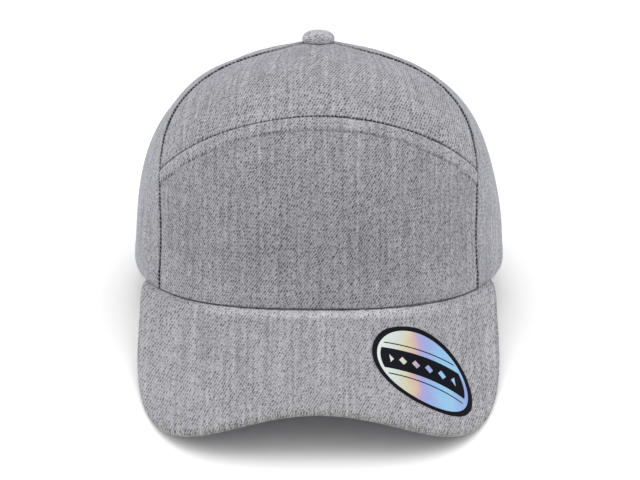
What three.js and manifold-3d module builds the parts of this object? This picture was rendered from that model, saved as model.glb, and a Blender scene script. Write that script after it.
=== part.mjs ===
// Snapback cap in millimetres, standing on the plane z = 0 with +Z up and its front towards -Y.
// The crown is made in the cap's own frame, where the rim lies in the plane z = 0, and the whole cap is
// then tipped back until it stands on the two corners of its peak and on its rear hem.
// Azimuth is measured round the crown in degrees from the front, positive towards +X.
// Height up a panel is the share t of its curve, 0 at the rim and 1 at the top of the crown.

import * as THREE from 'three';
import { mergeVertices } from 'three/addons/utils/BufferGeometryUtils.js';
import Module from 'manifold-3d';

const wasm = await Module();
wasm.setup();

// Crown: half width and half lengths of the rim, its roundness to the front and back, and its height.
const crown = { halfWidth: 91.6, front: 97, back: 99, frontPower: 2.06, backPower: 2.1, height: 105.9 };
const apex = { setBack: 14, shoulder: 0.979, rise: 1.8, riseSpan: 0.09 };

// How each meridian leaves the rim: shares of the rim's radius (out) and of the height (up) at its bends.
const meridians = {
	front: { out1: 0.985, up1: 0.5, out2: 0.93, up2: 0.89, out3: 0.53 },
	side: { out1: 0.98, up1: 0.52, out2: 0.92, up2: 0.853, out3: 0.446 },
	back: { out1: 1.0, up1: 0.39, out2: 0.83, up2: 0.76, out3: 0.43 },
};

const cloth = 2;
const gap = 0.3;
const seamDip = 0.7;
const panelTop = 0.98;
const hemLift = { height: 2.5, spread: 1.8 };

// Seams between the panels: azimuth at the rim, how far it turns, and over which part of the height.
const frontSeam = { azimuth: 54.7, turn: 32.5, from: 0.09, to: 0.73 };
const backSeam = { azimuth: 122, turn: 12, from: 0, to: 1 };
const archSeam = { top: 0.574, drop: 0.262, reach: 61 };
const backOpening = { halfAngle: 20.7, top: 0.25 };

// Peak: its droop, its bow across, and an outline that is a superellipse between its two ends.
const peak = { halfWidth: 86.7, droop: 27.3, sideDroop: -2.2, bow: 20.8, thick: 3, tuck: 1.5, tuckRun: 8 };
const peakEdge = { sides: -35, front: 66.2, power: 3.92 };
const sticker = { x: 48.2, run: 38.3, radius: 22.9, thick: 0.5 };

const band = { thick: 1.2, top: 0.17, endAzimuth: 148 };
const strap = { thick: 1.3, low: 4, high: 24, sewnAzimuth: 150, freeAzimuth: 193.8, setIn: 2.35 };
const snap = { pitch: 5.3, pegRadius: 1.8, holeRadius: 2.1, proud: 1, beforeMiddle: 3, pastMiddle: 2 };
const button = { radius: 8, height: 4.8, rimHeight: 1.6, rimDrop: 0.7 };
const shank = { radius: 2.2, discRadius: 5, discDrop: 1.5, discThick: 1 };
const restFlat = 0.6;

const clothGrey = 0x9c9ba3;
const materials = {
	cloth: { color: clothGrey, roughness: 0.95, metalness: 0 },
	band: { color: 0x8a8992, roughness: 0.95, metalness: 0 },
	strap: { color: 0x85858c, roughness: 0.45, metalness: 0 },
	sticker: { color: 0xbfd3ea, roughness: 0.25, metalness: 0.2 },
};

const radians = THREE.MathUtils.degToRad;
const mix = THREE.MathUtils.lerp;
const smooth = THREE.MathUtils.smoothstep;

// Distance of the rim from the crown's axis at an azimuth.
function rimRadius( azimuth ) {

	const across = Math.abs( Math.sin( radians( azimuth ) ) ) / crown.halfWidth;
	const along = Math.cos( radians( azimuth ) );
	const half = along > 0 ? crown.front : crown.back;
	const power = along > 0 ? crown.frontPower : crown.backPower;
	return ( across ** power + ( Math.abs( along ) / half ) ** power ) ** ( - 1 / power );

}

// A bend of the meridian at an azimuth, mixed from the front, side and back rows of the table.
function bend( azimuth, name ) {

	const along = Math.cos( radians( azimuth ) );
	const end = along > 0 ? meridians.front : meridians.back;
	return mix( meridians.side[ name ], end[ name ], along * along );

}

function liftAt( azimuth ) {

	const turn = Math.min( Math.abs( azimuth ) * hemLift.spread, 90 );
	return hemLift.height * Math.cos( radians( turn ) ) ** 2;

}

// The outer face of the crown: a quartic curve from the rim to the top at every azimuth.
function crownPoint( azimuth, t ) {

	const q = 1 - t;
	const out = q ** 4 + 4 * q ** 3 * t * bend( azimuth, 'out1' ) + 6 * q * q * t * t * bend( azimuth, 'out2' )
		+ 4 * q * t ** 3 * bend( azimuth, 'out3' );
	const up = 4 * q ** 3 * t * bend( azimuth, 'up1' ) + 6 * q * q * t * t * bend( azimuth, 'up2' )
		+ 4 * q * t ** 3 * apex.shoulder + t ** 4;
	const r = rimRadius( azimuth ) * out;
	const rise = apex.rise * Math.exp( - ( ( q / apex.riseSpan ) ** 2 ) );
	return new THREE.Vector3(
		r * Math.sin( radians( azimuth ) ),
		- r * Math.cos( radians( azimuth ) ) + apex.setBack * t * t,
		crown.height * up + rise + liftAt( azimuth ) * q ** 6
	);

}

function surfaceNormal( pointAt, u, v, stepU, stepV, outside ) {

	const along = pointAt( u + stepU, v ).sub( pointAt( u - stepU, v ) );
	const up = pointAt( u, v + stepV ).sub( pointAt( u, v - stepV ) );
	const normal = along.cross( up ).normalize();
	return normal.dot( outside ) < 0 ? normal.negate() : normal;

}

// A point a given depth inside the crown's outer face.
function insideCrown( azimuth, t, depth ) {

	const point = crownPoint( azimuth, t );
	const outside = point.clone().setZ( point.z - crown.height / 3 );
	const normal = surfaceNormal( crownPoint, azimuth, Math.max( t, 0.001 ), 0.5, 0.001, outside );
	return point.addScaledVector( normal, - depth );

}

// A closed solid between two grids of points, joined round their edges.
function wall( columns, rows, outerAt, innerAt ) {

	const points = [];
	for ( const at of [ outerAt, innerAt ] ) {

		for ( const u of columns ) for ( const v of rows ) points.push( at( u, v ) );

	}

	const wide = columns.length;
	const tall = rows.length;
	const inner = wide * tall;
	const faces = [];
	const quad = ( a, b, c, d ) => faces.push( a, b, c, a, c, d );
	for ( let i = 0; i < wide - 1; i ++ ) {

		for ( let j = 0; j < tall - 1; j ++ ) {

			const k = i * tall + j;
			quad( k, k + tall, k + tall + 1, k + 1 );
			quad( inner + k, inner + k + 1, inner + k + tall + 1, inner + k + tall );

		}

		const low = i * tall;
		const high = low + tall - 1;
		quad( low, inner + low, inner + low + tall, low + tall );
		quad( high, high + tall, inner + high + tall, inner + high );

	}

	for ( let j = 0; j < tall - 1; j ++ ) {

		const far = ( wide - 1 ) * tall + j;
		quad( j, j + 1, inner + j + 1, inner + j );
		quad( far, inner + far, inner + far + 1, far + 1 );

	}

	return solid( points, faces );

}

// A geometry whose faces point outwards, whichever way round its points were listed.
function solid( points, faces ) {

	const geometry = new THREE.BufferGeometry().setFromPoints( points );
	let volume = 0;
	for ( let k = 0; k < faces.length; k += 3 ) {

		const [ a, b, c ] = [ 0, 1, 2 ].map( ( n ) => points[ faces[ k + n ] ] );
		volume += a.dot( b.clone().cross( c ) );

	}

	if ( volume < 0 ) faces.reverse();
	geometry.setIndex( faces );
	return geometry;

}

// Even steps from 0 to 1, with a narrow first and last step where the panel rolls down into its seams.
function seamSteps( count, edge = 0.04 ) {

	const steps = Array.from( { length: count + 1 }, ( _, k ) => mix( edge, 1 - edge, k / count ) );
	return [ 0, ...steps, 1 ];

}

function evenSteps( count, from = 0, to = 1 ) {

	return Array.from( { length: count + 1 }, ( _, k ) => mix( from, to, k / count ) );

}

function seamAzimuth( seam, t ) {

	return seam.azimuth + seam.turn * smooth( t, seam.from, seam.to );

}

// Half the gap between two panels, as an angle at height t.
function halfGap( azimuth, t ) {

	const point = crownPoint( azimuth, t );
	return THREE.MathUtils.radToDeg( gap / 2 / Math.hypot( point.x, point.y - apex.setBack * t * t ) );

}

// Height of the arched seam at a share u of the way from the middle to the side seam. The side seam's
// azimuth changes with the height, so the two are settled together by repetition.
function archHeight( u ) {

	let t = archSeam.top;
	for ( let k = 0; k < 60; k ++ ) {

		const azimuth = u * seamAzimuth( frontSeam, t );
		t = mix( t, archSeam.top - archSeam.drop * ( azimuth / archSeam.reach ) ** 2, 0.5 );

	}

	return t;

}

// A cloth panel: place( u, v ) gives the azimuth and the height, dips( u, v ) its share of the seam's dip.
function panelGeometry( columns, rows, place, dips ) {

	return wall( columns, rows,
		( u, v ) => insideCrown( ...place( u, v ), seamDip * dips( u, v ) ),
		( u, v ) => insideCrown( ...place( u, v ), cloth ) );

}

const onSides = ( u ) => ( u === 0 || u === 1 ? 1 : 0 );

function frontPanel( isUpper ) {

	const halfJoin = gap / 2 / crown.height;
	const columns = seamSteps( 18 );
	const rows = isUpper ? [ 0, ...evenSteps( 8, 0.06 ) ] : [ ...evenSteps( 8, 0, 0.94 ), 1 ];
	const place = ( u, v ) => {

		const side = 2 * u - 1;
		const arch = archHeight( side );
		const t = isUpper ? mix( arch + halfJoin, panelTop, v ) : mix( 0, arch - halfJoin, v );
		const reach = seamAzimuth( frontSeam, t );
		return [ side * ( reach - halfGap( reach, t ) ), t ];

	};

	const atArch = isUpper ? 0 : 1;
	return panelGeometry( columns, rows, place, ( u, v ) => Math.max( onSides( u ), v === atArch ? 1 : 0 ) );

}

function sidePanel( side ) {

	const place = ( u, v ) => {

		const t = v * panelTop;
		const start = seamAzimuth( frontSeam, t );
		const end = seamAzimuth( backSeam, t );
		return [ side * mix( start + halfGap( start, t ), end - halfGap( end, t ), u ), t ];

	};

	return panelGeometry( seamSteps( 9 ), evenSteps( 14 ), place, onSides );

}

// The back panels end at the arched opening below its top, and meet each other above it.
function backPanel( side ) {

	const archSteps = 8;
	const archRows = evenSteps( archSteps ).map( ( k ) => backOpening.top * Math.sin( k * Math.PI / 2 ) );
	const rows = [ ...archRows, ...evenSteps( 10, backOpening.top, panelTop ).slice( 1 ) ];
	const place = ( u, t ) => {

		const start = seamAzimuth( backSeam, t );
		const share = Math.min( t / backOpening.top, 1 );
		const open = Math.max( backOpening.halfAngle * Math.sqrt( 1 - share * share ), halfGap( 180, t ) );
		return [ side * mix( start + halfGap( start, t ), 180 - open, u ), t ];

	};

	return panelGeometry( seamSteps( 8 ), rows, place, onSides );

}

// Where the peak leaves the rim: the rim's y at a given x, and the azimuth there.
function rimAt( x ) {

	const share = 1 - ( Math.abs( x ) / crown.halfWidth ) ** crown.frontPower;
	const y = - crown.front * share ** ( 1 / crown.frontPower );
	return { y, azimuth: THREE.MathUtils.radToDeg( Math.atan2( Math.abs( x ), - y ) ) };

}

// The upper face of the peak, at a distance run down its slope from the rim. Its rear corners are tucked in.
function peakPoint( x, run ) {

	const rim = rimAt( x );
	const bow = ( x / peak.halfWidth ) ** 2;
	const droop = radians( peak.droop + peak.sideDroop * bow );
	const tuck = Math.sign( x ) * peak.tuck * bow ** 4 * Math.exp( - run / peak.tuckRun );
	return new THREE.Vector3(
		x - tuck,
		rim.y - run * Math.cos( droop ),
		liftAt( rim.azimuth ) - gap - run * Math.sin( droop ) - peak.bow * bow * run / 100
	);

}

function underPeak( x, run, depth ) {

	const up = new THREE.Vector3( 0, 0, 1 );
	const normal = surfaceNormal( peakPoint, x, Math.max( run, 0.5 ), 0.2, 0.2, up );
	return peakPoint( x, run ).addScaledVector( normal, - depth );

}

// The run from the rim to the peak's edge.
function peakReach( x ) {

	const share = Math.min( Math.abs( x ) / peak.halfWidth, 1 );
	const edge = peakEdge.sides + ( peakEdge.front - peakEdge.sides ) * Math.sqrt( 1 - share ** peakEdge.power );
	const droop = radians( peak.droop + peak.sideDroop * share ** 2 );
	return edge + ( crown.front + rimAt( x ).y ) / Math.cos( droop );

}

// The step inwards from the rim to the far edge of the ledge that lies under the crown's hem.
function ledgeStep( x ) {

	const rim = peakPoint( x, 0 );
	const inner = insideCrown( Math.sign( x ) * rimAt( x ).azimuth, 0, cloth );
	return inner.setZ( rim.z ).sub( rim );

}

function peakGeometry() {

	const columns = evenSteps( 24, - 1, 1 );
	const rows = [ - 1, ...evenSteps( 7 ) ];
	const place = ( u ) => peak.halfWidth * Math.sign( u ) * ( 1 - ( 1 - Math.abs( u ) ) ** 2 );
	const face = ( depth ) => ( u, v ) => {

		const x = place( u );
		const point = underPeak( x, Math.max( v, 0 ) * peakReach( x ), depth );
		return v < 0 ? point.add( ledgeStep( x ) ) : point;

	};

	return wall( columns, rows, face( 0 ), face( peak.thick ) );

}

// The round label lies on the peak's upper face: a disc of rings bent to the same surface.
function stickerGeometry() {

	const sectors = 32;
	const rings = [ 0.35, 0.7, 1 ];
	const points = [];
	const faces = [];
	for ( const height of [ gap + sticker.thick, gap ] ) {

		points.push( underPeak( sticker.x, sticker.run, - height ) );
		for ( const ring of rings ) {

			for ( let k = 0; k < sectors; k ++ ) {

				const angle = 2 * Math.PI * k / sectors;
				points.push( stickerPoint( ring * sticker.radius, angle, height ) );

			}

		}

	}

	const layer = 1 + rings.length * sectors;
	const quad = ( a, b, c, d ) => faces.push( a, b, c, a, c, d );
	for ( let k = 0; k < sectors; k ++ ) {

		const next = ( k + 1 ) % sectors;
		faces.push( 0, 1 + k, 1 + next );
		faces.push( layer, layer + 1 + next, layer + 1 + k );
		for ( let ring = 1; ring < rings.length; ring ++ ) {

			const inner = 1 + ( ring - 1 ) * sectors;
			const outer = inner + sectors;
			quad( inner + k, outer + k, outer + next, inner + next );
			quad( layer + inner + k, layer + inner + next, layer + outer + next, layer + outer + k );

		}

		const edge = layer - sectors;
		quad( edge + k, layer + edge + k, layer + edge + next, edge + next );

	}

	return solid( points, faces );

}

// A point of the label, by its distance and direction from the middle along the slope of the peak.
function stickerPoint( radius, angle, height ) {

	const x = sticker.x + radius * Math.cos( angle );
	const slope = Math.cos( radians( peak.droop ) );
	const y = rimAt( sticker.x ).y - ( sticker.run - radius * Math.sin( angle ) ) * slope;
	const run = ( rimAt( x ).y - y ) / slope;
	return underPeak( x, run, - height );

}

function sweatbandGeometry() {

	const outer = cloth + gap + 0.05;
	const columns = evenSteps( 48, - band.endAzimuth, band.endAzimuth );
	const rows = evenSteps( 3, 0.004, band.top );
	return wall( columns, rows,
		( azimuth, t ) => insideCrown( azimuth, t, outer ),
		( azimuth, t ) => insideCrown( azimuth, t, outer + band.thick ) );

}

// The share t of the back meridian at a height above the rim, found by halving.
function shareAtHeight( azimuth, z ) {

	let low = 0;
	let high = 0.5;
	for ( let k = 0; k < 30; k ++ ) {

		const t = ( low + high ) / 2;
		if ( crownPoint( azimuth, t ).z < z ) low = t;
		else high = t;

	}

	return low;

}

// A plastic strap from under one back panel to its rounded free end past the middle. It starts on the side
// given, and its depth under the crown's outer face is depthAt( azimuth ).
function strapGeometry( side, depthAt ) {

	const middle = ( strap.low + strap.high ) / 2;
	const half = ( strap.high - strap.low ) / 2;
	const perDegree = radians( 1 ) * crown.back;
	const roundFrom = strap.freeAzimuth - half / perDegree;
	const turns = evenSteps( 5 ).map( ( k ) => mix( roundFrom, strap.freeAzimuth, Math.sin( k * Math.PI / 2 ) ) );
	const columns = [ ...evenSteps( 17, strap.sewnAzimuth, roundFrom ), ...turns.slice( 1 ) ];
	const rows = evenSteps( 2, - 1, 1 );
	const place = ( azimuth, row, depth ) => {

		const past = Math.max( azimuth - roundFrom, 0 ) * perDegree / half;
		const reach = half * Math.max( Math.sqrt( Math.max( 1 - past * past, 0 ) ), 0.12 );
		return insideCrown( side * azimuth, shareAtHeight( azimuth, middle + row * reach ), depth );

	};

	return wall( columns, rows,
		( azimuth, row ) => place( azimuth, row, depthAt( azimuth ) ),
		( azimuth, row ) => place( azimuth, row, depthAt( azimuth ) + strap.thick ) );

}

// A short round bar square to the crown's face, between two depths under it.
function snapBar( azimuth, radius, from, to ) {

	const t = shareAtHeight( azimuth, ( strap.low + strap.high ) / 2 );
	const start = insideCrown( azimuth, t, from );
	const end = insideCrown( azimuth, t, to );
	const bar = new THREE.CylinderGeometry( radius, radius, start.distanceTo( end ), 12 );
	const turn = new THREE.Quaternion();
	turn.setFromUnitVectors( new THREE.Vector3( 0, 1, 0 ), end.clone().sub( start ).normalize() );
	bar.applyQuaternion( turn );
	const centre = start.add( end ).multiplyScalar( 0.5 );
	return bar.translate( centre.x, centre.y, centre.z );

}

function toManifold( geometry ) {

	const bare = geometry.clone();
	bare.deleteAttribute( 'normal' );
	bare.deleteAttribute( 'uv' );
	const merged = mergeVertices( bare );
	return new wasm.Manifold( new wasm.Mesh( {
		numProp: 3,
		vertProperties: new Float32Array( merged.attributes.position.array ),
		triVerts: new Uint32Array( merged.index.array ),
	} ) );

}

function toGeometry( manifold ) {

	const mesh = manifold.getMesh();
	const geometry = new THREE.BufferGeometry();
	geometry.setAttribute( 'position', new THREE.BufferAttribute( mesh.vertProperties, 3 ) );
	geometry.setIndex( new THREE.BufferAttribute( mesh.triVerts, 1 ) );
	return geometry;

}

// The azimuths of a strap's snaps, counted from the middle of the back towards its free end.
function snapAzimuths() {

	const count = snap.beforeMiddle + snap.pastMiddle + 1;
	return Array.from( { length: count }, ( _, k ) => 180 + ( k - snap.beforeMiddle ) * snap.pitch );

}

function holeStrap() {

	let body = toManifold( strapGeometry( 1, () => strap.setIn ) );
	for ( const azimuth of snapAzimuths() ) {

		const drill = snapBar( azimuth, snap.holeRadius, strap.setIn - 1, strap.setIn + strap.thick + 1 );
		body = body.subtract( toManifold( drill ) );

	}

	return toGeometry( body );

}

// The strap with pegs starts on the other side, and steps inwards just before the end of the one with holes.
function pegStrap() {

	const stepIn = strap.thick + gap + 0.05;
	const otherEnd = 360 - strap.freeAzimuth;
	const depthAt = ( azimuth ) => strap.setIn + stepIn * smooth( azimuth, otherEnd - 9, otherEnd - 1.5 );
	let body = toManifold( strapGeometry( - 1, depthAt ) );
	for ( const azimuth of snapAzimuths() ) {

		const root = depthAt( azimuth ) + strap.thick / 2;
		const tip = depthAt( azimuth ) - stepIn - snap.proud;
		body = body.add( toManifold( snapBar( - azimuth, snap.pegRadius, tip, root ) ) );

	}

	return toGeometry( body );

}

// The button: a low dome with a rolled rim, its shank through the crown and the disc that holds it inside.
function buttonGeometry() {

	const top = crown.height + apex.rise;
	const base = top + gap;
	const under = top - cloth - shank.discDrop;
	const half = Math.PI / 2;
	const dome = evenSteps( 5, 0, half ).map( ( angle ) => new THREE.Vector2(
		button.radius * Math.cos( angle ) ** 0.7,
		base + mix( button.rimHeight - button.rimDrop, button.height, Math.sin( angle ) )
	) );
	dome[ dome.length - 1 ].x = 0;
	const profile = [
		new THREE.Vector2( 0, under - shank.discThick ),
		new THREE.Vector2( shank.discRadius, under - shank.discThick ),
		new THREE.Vector2( shank.discRadius, under ),
		new THREE.Vector2( shank.radius, under ),
		new THREE.Vector2( shank.radius, base ),
		new THREE.Vector2( button.radius - 1.2, base - button.rimDrop ),
		new THREE.Vector2( button.radius - 0.3, base - button.rimDrop / 2 ),
		...dome,
	];
	const lathe = new THREE.LatheGeometry( profile, 20 );
	lathe.rotateX( half );
	return lathe.translate( 0, apex.setBack, 0 );

}

// Closes the lathe's seam and turns its faces outwards.
function closed( geometry ) {

	geometry.deleteAttribute( 'normal' );
	geometry.deleteAttribute( 'uv' );
	const merged = mergeVertices( geometry, 1e-4 );
	const position = merged.attributes.position;
	const pointAt = ( _, k ) => new THREE.Vector3().fromBufferAttribute( position, k );
	const points = Array.from( { length: position.count }, pointAt );
	const faces = [];
	const index = merged.index.array;
	for ( let k = 0; k < index.length; k += 3 ) {

		const [ a, b, c ] = [ index[ k ], index[ k + 1 ], index[ k + 2 ] ];
		if ( a !== b && b !== c && c !== a ) faces.push( a, b, c );

	}

	return solid( points, faces );

}

const pieces = [
	{ name: 'front_lower_panel', material: 'cloth', geometry: frontPanel( false ) },
	{ name: 'front_upper_panel', material: 'cloth', geometry: frontPanel( true ) },
	{ name: 'side_panel_left', material: 'cloth', geometry: sidePanel( - 1 ) },
	{ name: 'side_panel_right', material: 'cloth', geometry: sidePanel( 1 ) },
	{ name: 'back_panel_left', material: 'cloth', geometry: backPanel( - 1 ), restsOnTable: true },
	{ name: 'back_panel_right', material: 'cloth', geometry: backPanel( 1 ), restsOnTable: true },
	{ name: 'top_button', material: 'cloth', geometry: closed( buttonGeometry() ) },
	{ name: 'peak', material: 'cloth', geometry: peakGeometry(), restsOnTable: true },
	{ name: 'peak_sticker', material: 'sticker', geometry: stickerGeometry() },
	{ name: 'sweatband', material: 'band', geometry: sweatbandGeometry() },
	{ name: 'snap_strap_pegs', material: 'strap', geometry: pegStrap() },
	{ name: 'snap_strap_holes', material: 'strap', geometry: holeStrap() },
];

function lowestPoint( geometry, tilt ) {

	const turned = geometry.clone().rotateX( - tilt );
	turned.computeBoundingBox();
	return turned.boundingBox.min.z;

}

// The cap tips back until its peak and its rear hem are equally low.
function restingTilt() {

	const front = pieces.find( ( piece ) => piece.name === 'peak' ).geometry;
	const rear = pieces.find( ( piece ) => piece.name === 'back_panel_left' ).geometry;
	let low = 0;
	let high = radians( 30 );
	for ( let k = 0; k < 40; k ++ ) {

		const tilt = ( low + high ) / 2;
		if ( lowestPoint( front, tilt ) < lowestPoint( rear, tilt ) ) low = tilt;
		else high = tilt;

	}

	return { tilt: low, base: lowestPoint( front, low ) };

}

const rest = restingTilt();
const standing = new THREE.Group();
standing.rotation.x = - rest.tilt;
standing.position.z = - rest.base - restFlat;
standing.updateMatrixWorld();

// The cloth that meets the table is pressed flat: the part of it below the table's plane is cut away.
function pressFlat( geometry ) {

	const span = 400;
	const table = new THREE.BoxGeometry( span, span, span );
	table.translate( 0, 0, - span / 2 );
	table.applyMatrix4( standing.matrixWorld.clone().invert() );
	return toGeometry( toManifold( geometry ).subtract( toManifold( table ) ) );

}

for ( const piece of pieces ) {

	const geometry = piece.restsOnTable ? pressFlat( piece.geometry ) : piece.geometry;
	const mesh = new THREE.Mesh( geometry, new THREE.MeshStandardMaterial( materials[ piece.material ] ) );
	mesh.name = piece.name;
	standing.add( mesh );

}

// The origin is on the table, under the middle of the whole cap.
const cap = new THREE.Group();
cap.add( standing );
cap.updateMatrixWorld();
const extent = new THREE.Box3().setFromObject( cap, true );
standing.position.y = - ( extent.min.y + extent.max.y ) / 2;
cap.updateMatrixWorld();

export default cap;
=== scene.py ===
import math

import bmesh
import bpy
import numpy as np
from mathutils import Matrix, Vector


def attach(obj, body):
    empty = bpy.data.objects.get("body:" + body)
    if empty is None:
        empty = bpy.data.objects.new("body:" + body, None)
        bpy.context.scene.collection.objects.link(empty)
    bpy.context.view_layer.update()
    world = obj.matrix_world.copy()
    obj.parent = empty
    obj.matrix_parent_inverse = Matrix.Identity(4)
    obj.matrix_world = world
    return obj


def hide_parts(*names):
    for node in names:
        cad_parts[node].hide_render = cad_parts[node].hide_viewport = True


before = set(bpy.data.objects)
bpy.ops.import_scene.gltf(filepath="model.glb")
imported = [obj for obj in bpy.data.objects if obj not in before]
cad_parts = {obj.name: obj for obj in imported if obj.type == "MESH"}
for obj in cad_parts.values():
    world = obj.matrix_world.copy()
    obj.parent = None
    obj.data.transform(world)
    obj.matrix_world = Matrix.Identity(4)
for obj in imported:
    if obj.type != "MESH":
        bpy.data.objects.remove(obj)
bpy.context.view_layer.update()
metresPerMm = 0.001

crown = {"halfWidth": 91.6, "front": 97, "back": 99, "frontPower": 2.06, "backPower": 2.1, "height": 105.9}
apex = {"setBack": 14, "shoulder": 0.979, "rise": 1.8, "riseSpan": 0.09}
meridians = {
    "front": {"out1": 0.985, "up1": 0.5, "out2": 0.93, "up2": 0.89, "out3": 0.53},
    "side": {"out1": 0.98, "up1": 0.52, "out2": 0.92, "up2": 0.853, "out3": 0.446},
    "back": {"out1": 1.0, "up1": 0.39, "out2": 0.83, "up2": 0.76, "out3": 0.43},
}
hemLift = {"height": 2.5, "spread": 1.8}
frontSeam = {"azimuth": 54.7, "turn": 32.5, "low": 0.09, "high": 0.73}
backSeam = {"azimuth": 122, "turn": 12, "low": 0, "high": 1}
archSeam = {"top": 0.574, "drop": 0.262, "reach": 61}
backOpening = {"halfAngle": 20.7, "top": 0.25}
stance = {"tilt": 12.4124, "backwards": 29.534, "lift": 19.154}
degreesToMm = math.radians(1) * crown["back"]
mmPerShare = 150   # about how many millimetres the whole way up the crown is


def smooth(x, low, high):
    share = np.clip((np.asarray(x, float) - low) / (high - low), 0, 1)
    return share * share * (3 - 2 * share)


# 0 up to a, 1 from b to c, and 0 again from d on
def raised(x, a, b, c, d):
    return smooth(x, a, b) * (1 - smooth(x, c, d))


def line(distance, at, width):
    return np.exp(-((distance - at) / width) ** 2)


def rimRadius(azimuth):
    along = np.cos(np.radians(azimuth))
    across = np.abs(np.sin(np.radians(azimuth))) / crown["halfWidth"]
    half = np.where(along > 0, crown["front"], crown["back"])
    power = np.where(along > 0, crown["frontPower"], crown["backPower"])
    return (across ** power + (np.abs(along) / half) ** power) ** (-1 / power)


def bend(azimuth, name):
    along = np.cos(np.radians(azimuth))
    end = np.where(along > 0, meridians["front"][name], meridians["back"][name])
    return meridians["side"][name] + (end - meridians["side"][name]) * along * along


def liftAt(azimuth):
    turn = np.minimum(np.abs(azimuth) * hemLift["spread"], 90)
    return hemLift["height"] * np.cos(np.radians(turn)) ** 2


# The crown's outer face: each meridian is one curve of the fourth degree from the rim to the button
def crownPoint(azimuth, t):
    azimuth, t = np.broadcast_arrays(np.asarray(azimuth, float), np.asarray(t, float))
    q = 1 - t
    out = (q ** 4 + 4 * q ** 3 * t * bend(azimuth, "out1") + 6 * q * q * t * t * bend(azimuth, "out2")
           + 4 * q * t ** 3 * bend(azimuth, "out3"))
    up = (4 * q ** 3 * t * bend(azimuth, "up1") + 6 * q * q * t * t * bend(azimuth, "up2")
          + 4 * q * t ** 3 * apex["shoulder"] + t ** 4)
    r = rimRadius(azimuth) * out
    rise = apex["rise"] * np.exp(-((q / apex["riseSpan"]) ** 2))
    return np.stack([
        r * np.sin(np.radians(azimuth)),
        -r * np.cos(np.radians(azimuth)) + apex["setBack"] * t * t,
        crown["height"] * up + rise + liftAt(azimuth) * q ** 6,
    ], axis=-1)


def unit(vectors):
    return vectors / np.maximum(np.linalg.norm(vectors, axis=-1, keepdims=True), 1e-12)


def crownNormal(azimuth, t):
    t = np.maximum(t, 0.001)
    along = crownPoint(azimuth + 0.5, t) - crownPoint(azimuth - 0.5, t)
    up = crownPoint(azimuth, t + 0.001) - crownPoint(azimuth, t - 0.001)
    return unit(np.cross(along, up))


def overCrown(azimuth, t, height):
    return crownPoint(azimuth, t) + crownNormal(azimuth, t) * np.asarray(height, float)[..., None]


def seamAzimuth(seam, t):
    return seam["azimuth"] + seam["turn"] * smooth(t, seam["low"], seam["high"])


# Height of the arched seam at a share u of the way from the middle to the side seam
def archHeight(u):
    t = np.full(np.shape(u), archSeam["top"])
    for _ in range(60):
        azimuth = u * seamAzimuth(frontSeam, t)
        t = 0.5 * t + 0.5 * (archSeam["top"] - archSeam["drop"] * (azimuth / archSeam["reach"]) ** 2)
    return t


def turnToWorld(vectors):
    tilt = math.radians(stance["tilt"])
    x, y, z = np.moveaxis(np.asarray(vectors, float), -1, 0)
    return np.stack([
        x, y * math.cos(tilt) + z * math.sin(tilt), -y * math.sin(tilt) + z * math.cos(tilt)], axis=-1)


# From the cap's frame to the room's. What would pass the table is pressed flat on it.
def toWorld(points):
    placed = turnToWorld(points) + (0, stance["backwards"], stance["lift"])
    placed[..., 2] = np.maximum(placed[..., 2], 0)
    return placed * metresPerMm


# Soft unevenness from -1 to 1: a few waves of about one length in directions set by the seed
def ripple(x, y, wave, seed):
    dice = np.random.default_rng(seed)
    total = 0
    for _ in range(6):
        turn, phase = dice.uniform(0, 2 * math.pi, 2)
        length = wave * dice.uniform(0.7, 1.6)
        total = total + np.sin((x * math.cos(turn) + y * math.sin(turn)) * 2 * math.pi / length + phase)
    return total / 3.5


# Distance in mm from the first row of a grid of points, along one of its directions
def lengthAlong(points, axis):
    steps = np.linalg.norm(np.diff(points, axis=axis), axis=-1)
    start = np.zeros_like(np.take(steps, [0], axis=axis))
    return np.concatenate([start, np.cumsum(steps, axis=axis)], axis=axis)


def gridQuads(wide, tall, first=0, inwards=False):
    i, j = np.meshgrid(np.arange(wide - 1), np.arange(tall - 1), indexing="ij")
    k = (first + i * tall + j).ravel()
    quads = np.stack([k, k + tall, k + tall + 1, k + 1], axis=1)
    return quads[:, ::-1] if inwards else quads


# Points and faces of two grids that face away from each other, closed round their edges
def closedSkin(outer, inner):
    wide, tall = outer.shape[:2]
    size = wide * tall
    faces = [gridQuads(wide, tall), gridQuads(wide, tall, size, inwards=True)]
    for first, step, number in ((0, tall, wide), (tall - 1, tall, wide), (0, 1, tall), ((wide - 1) * tall, 1, tall)):
        k = first + step * np.arange(number - 1)
        faces.append(np.stack([k, k + step, size + k + step, size + k], axis=1))
    return np.concatenate([outer.reshape(-1, 3), inner.reshape(-1, 3)]), np.concatenate(faces)


# A mesh object from points in the cap's frame, with a UV map in mm and marks as point attributes
def makePiece(name, points, faces, material, uv=None, marks=None, world=True):
    mesh = bpy.data.meshes.new(name)
    placed = toWorld(points) if world else np.asarray(points, float)
    mesh.from_pydata(placed.tolist(), [], [list(map(int, face)) for face in faces])
    if uv is not None:
        layer = mesh.uv_layers.new(name="clothUv")
        corners = np.zeros(len(mesh.loops), np.int32)
        mesh.loops.foreach_get("vertex_index", corners)
        layer.data.foreach_set("uv", np.asarray(uv, np.float32)[corners].ravel())
    for key, values in (marks or {}).items():
        attribute = mesh.attributes.new(key, "FLOAT", "POINT")
        attribute.data.foreach_set("value", np.asarray(values, np.float32).ravel())
    mesh.materials.append(material)
    mesh.validate()
    finish = bmesh.new()
    finish.from_mesh(mesh)
    bmesh.ops.remove_doubles(finish, verts=finish.verts, dist=2e-6)
    bmesh.ops.recalc_face_normals(finish, faces=finish.faces)
    finish.to_mesh(mesh)
    finish.free()
    mesh.shade_smooth()
    return addObject(name, mesh)


def addObject(name, data):
    item = bpy.data.objects.new(name, data)
    bpy.context.scene.collection.objects.link(item)
    return item


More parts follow.
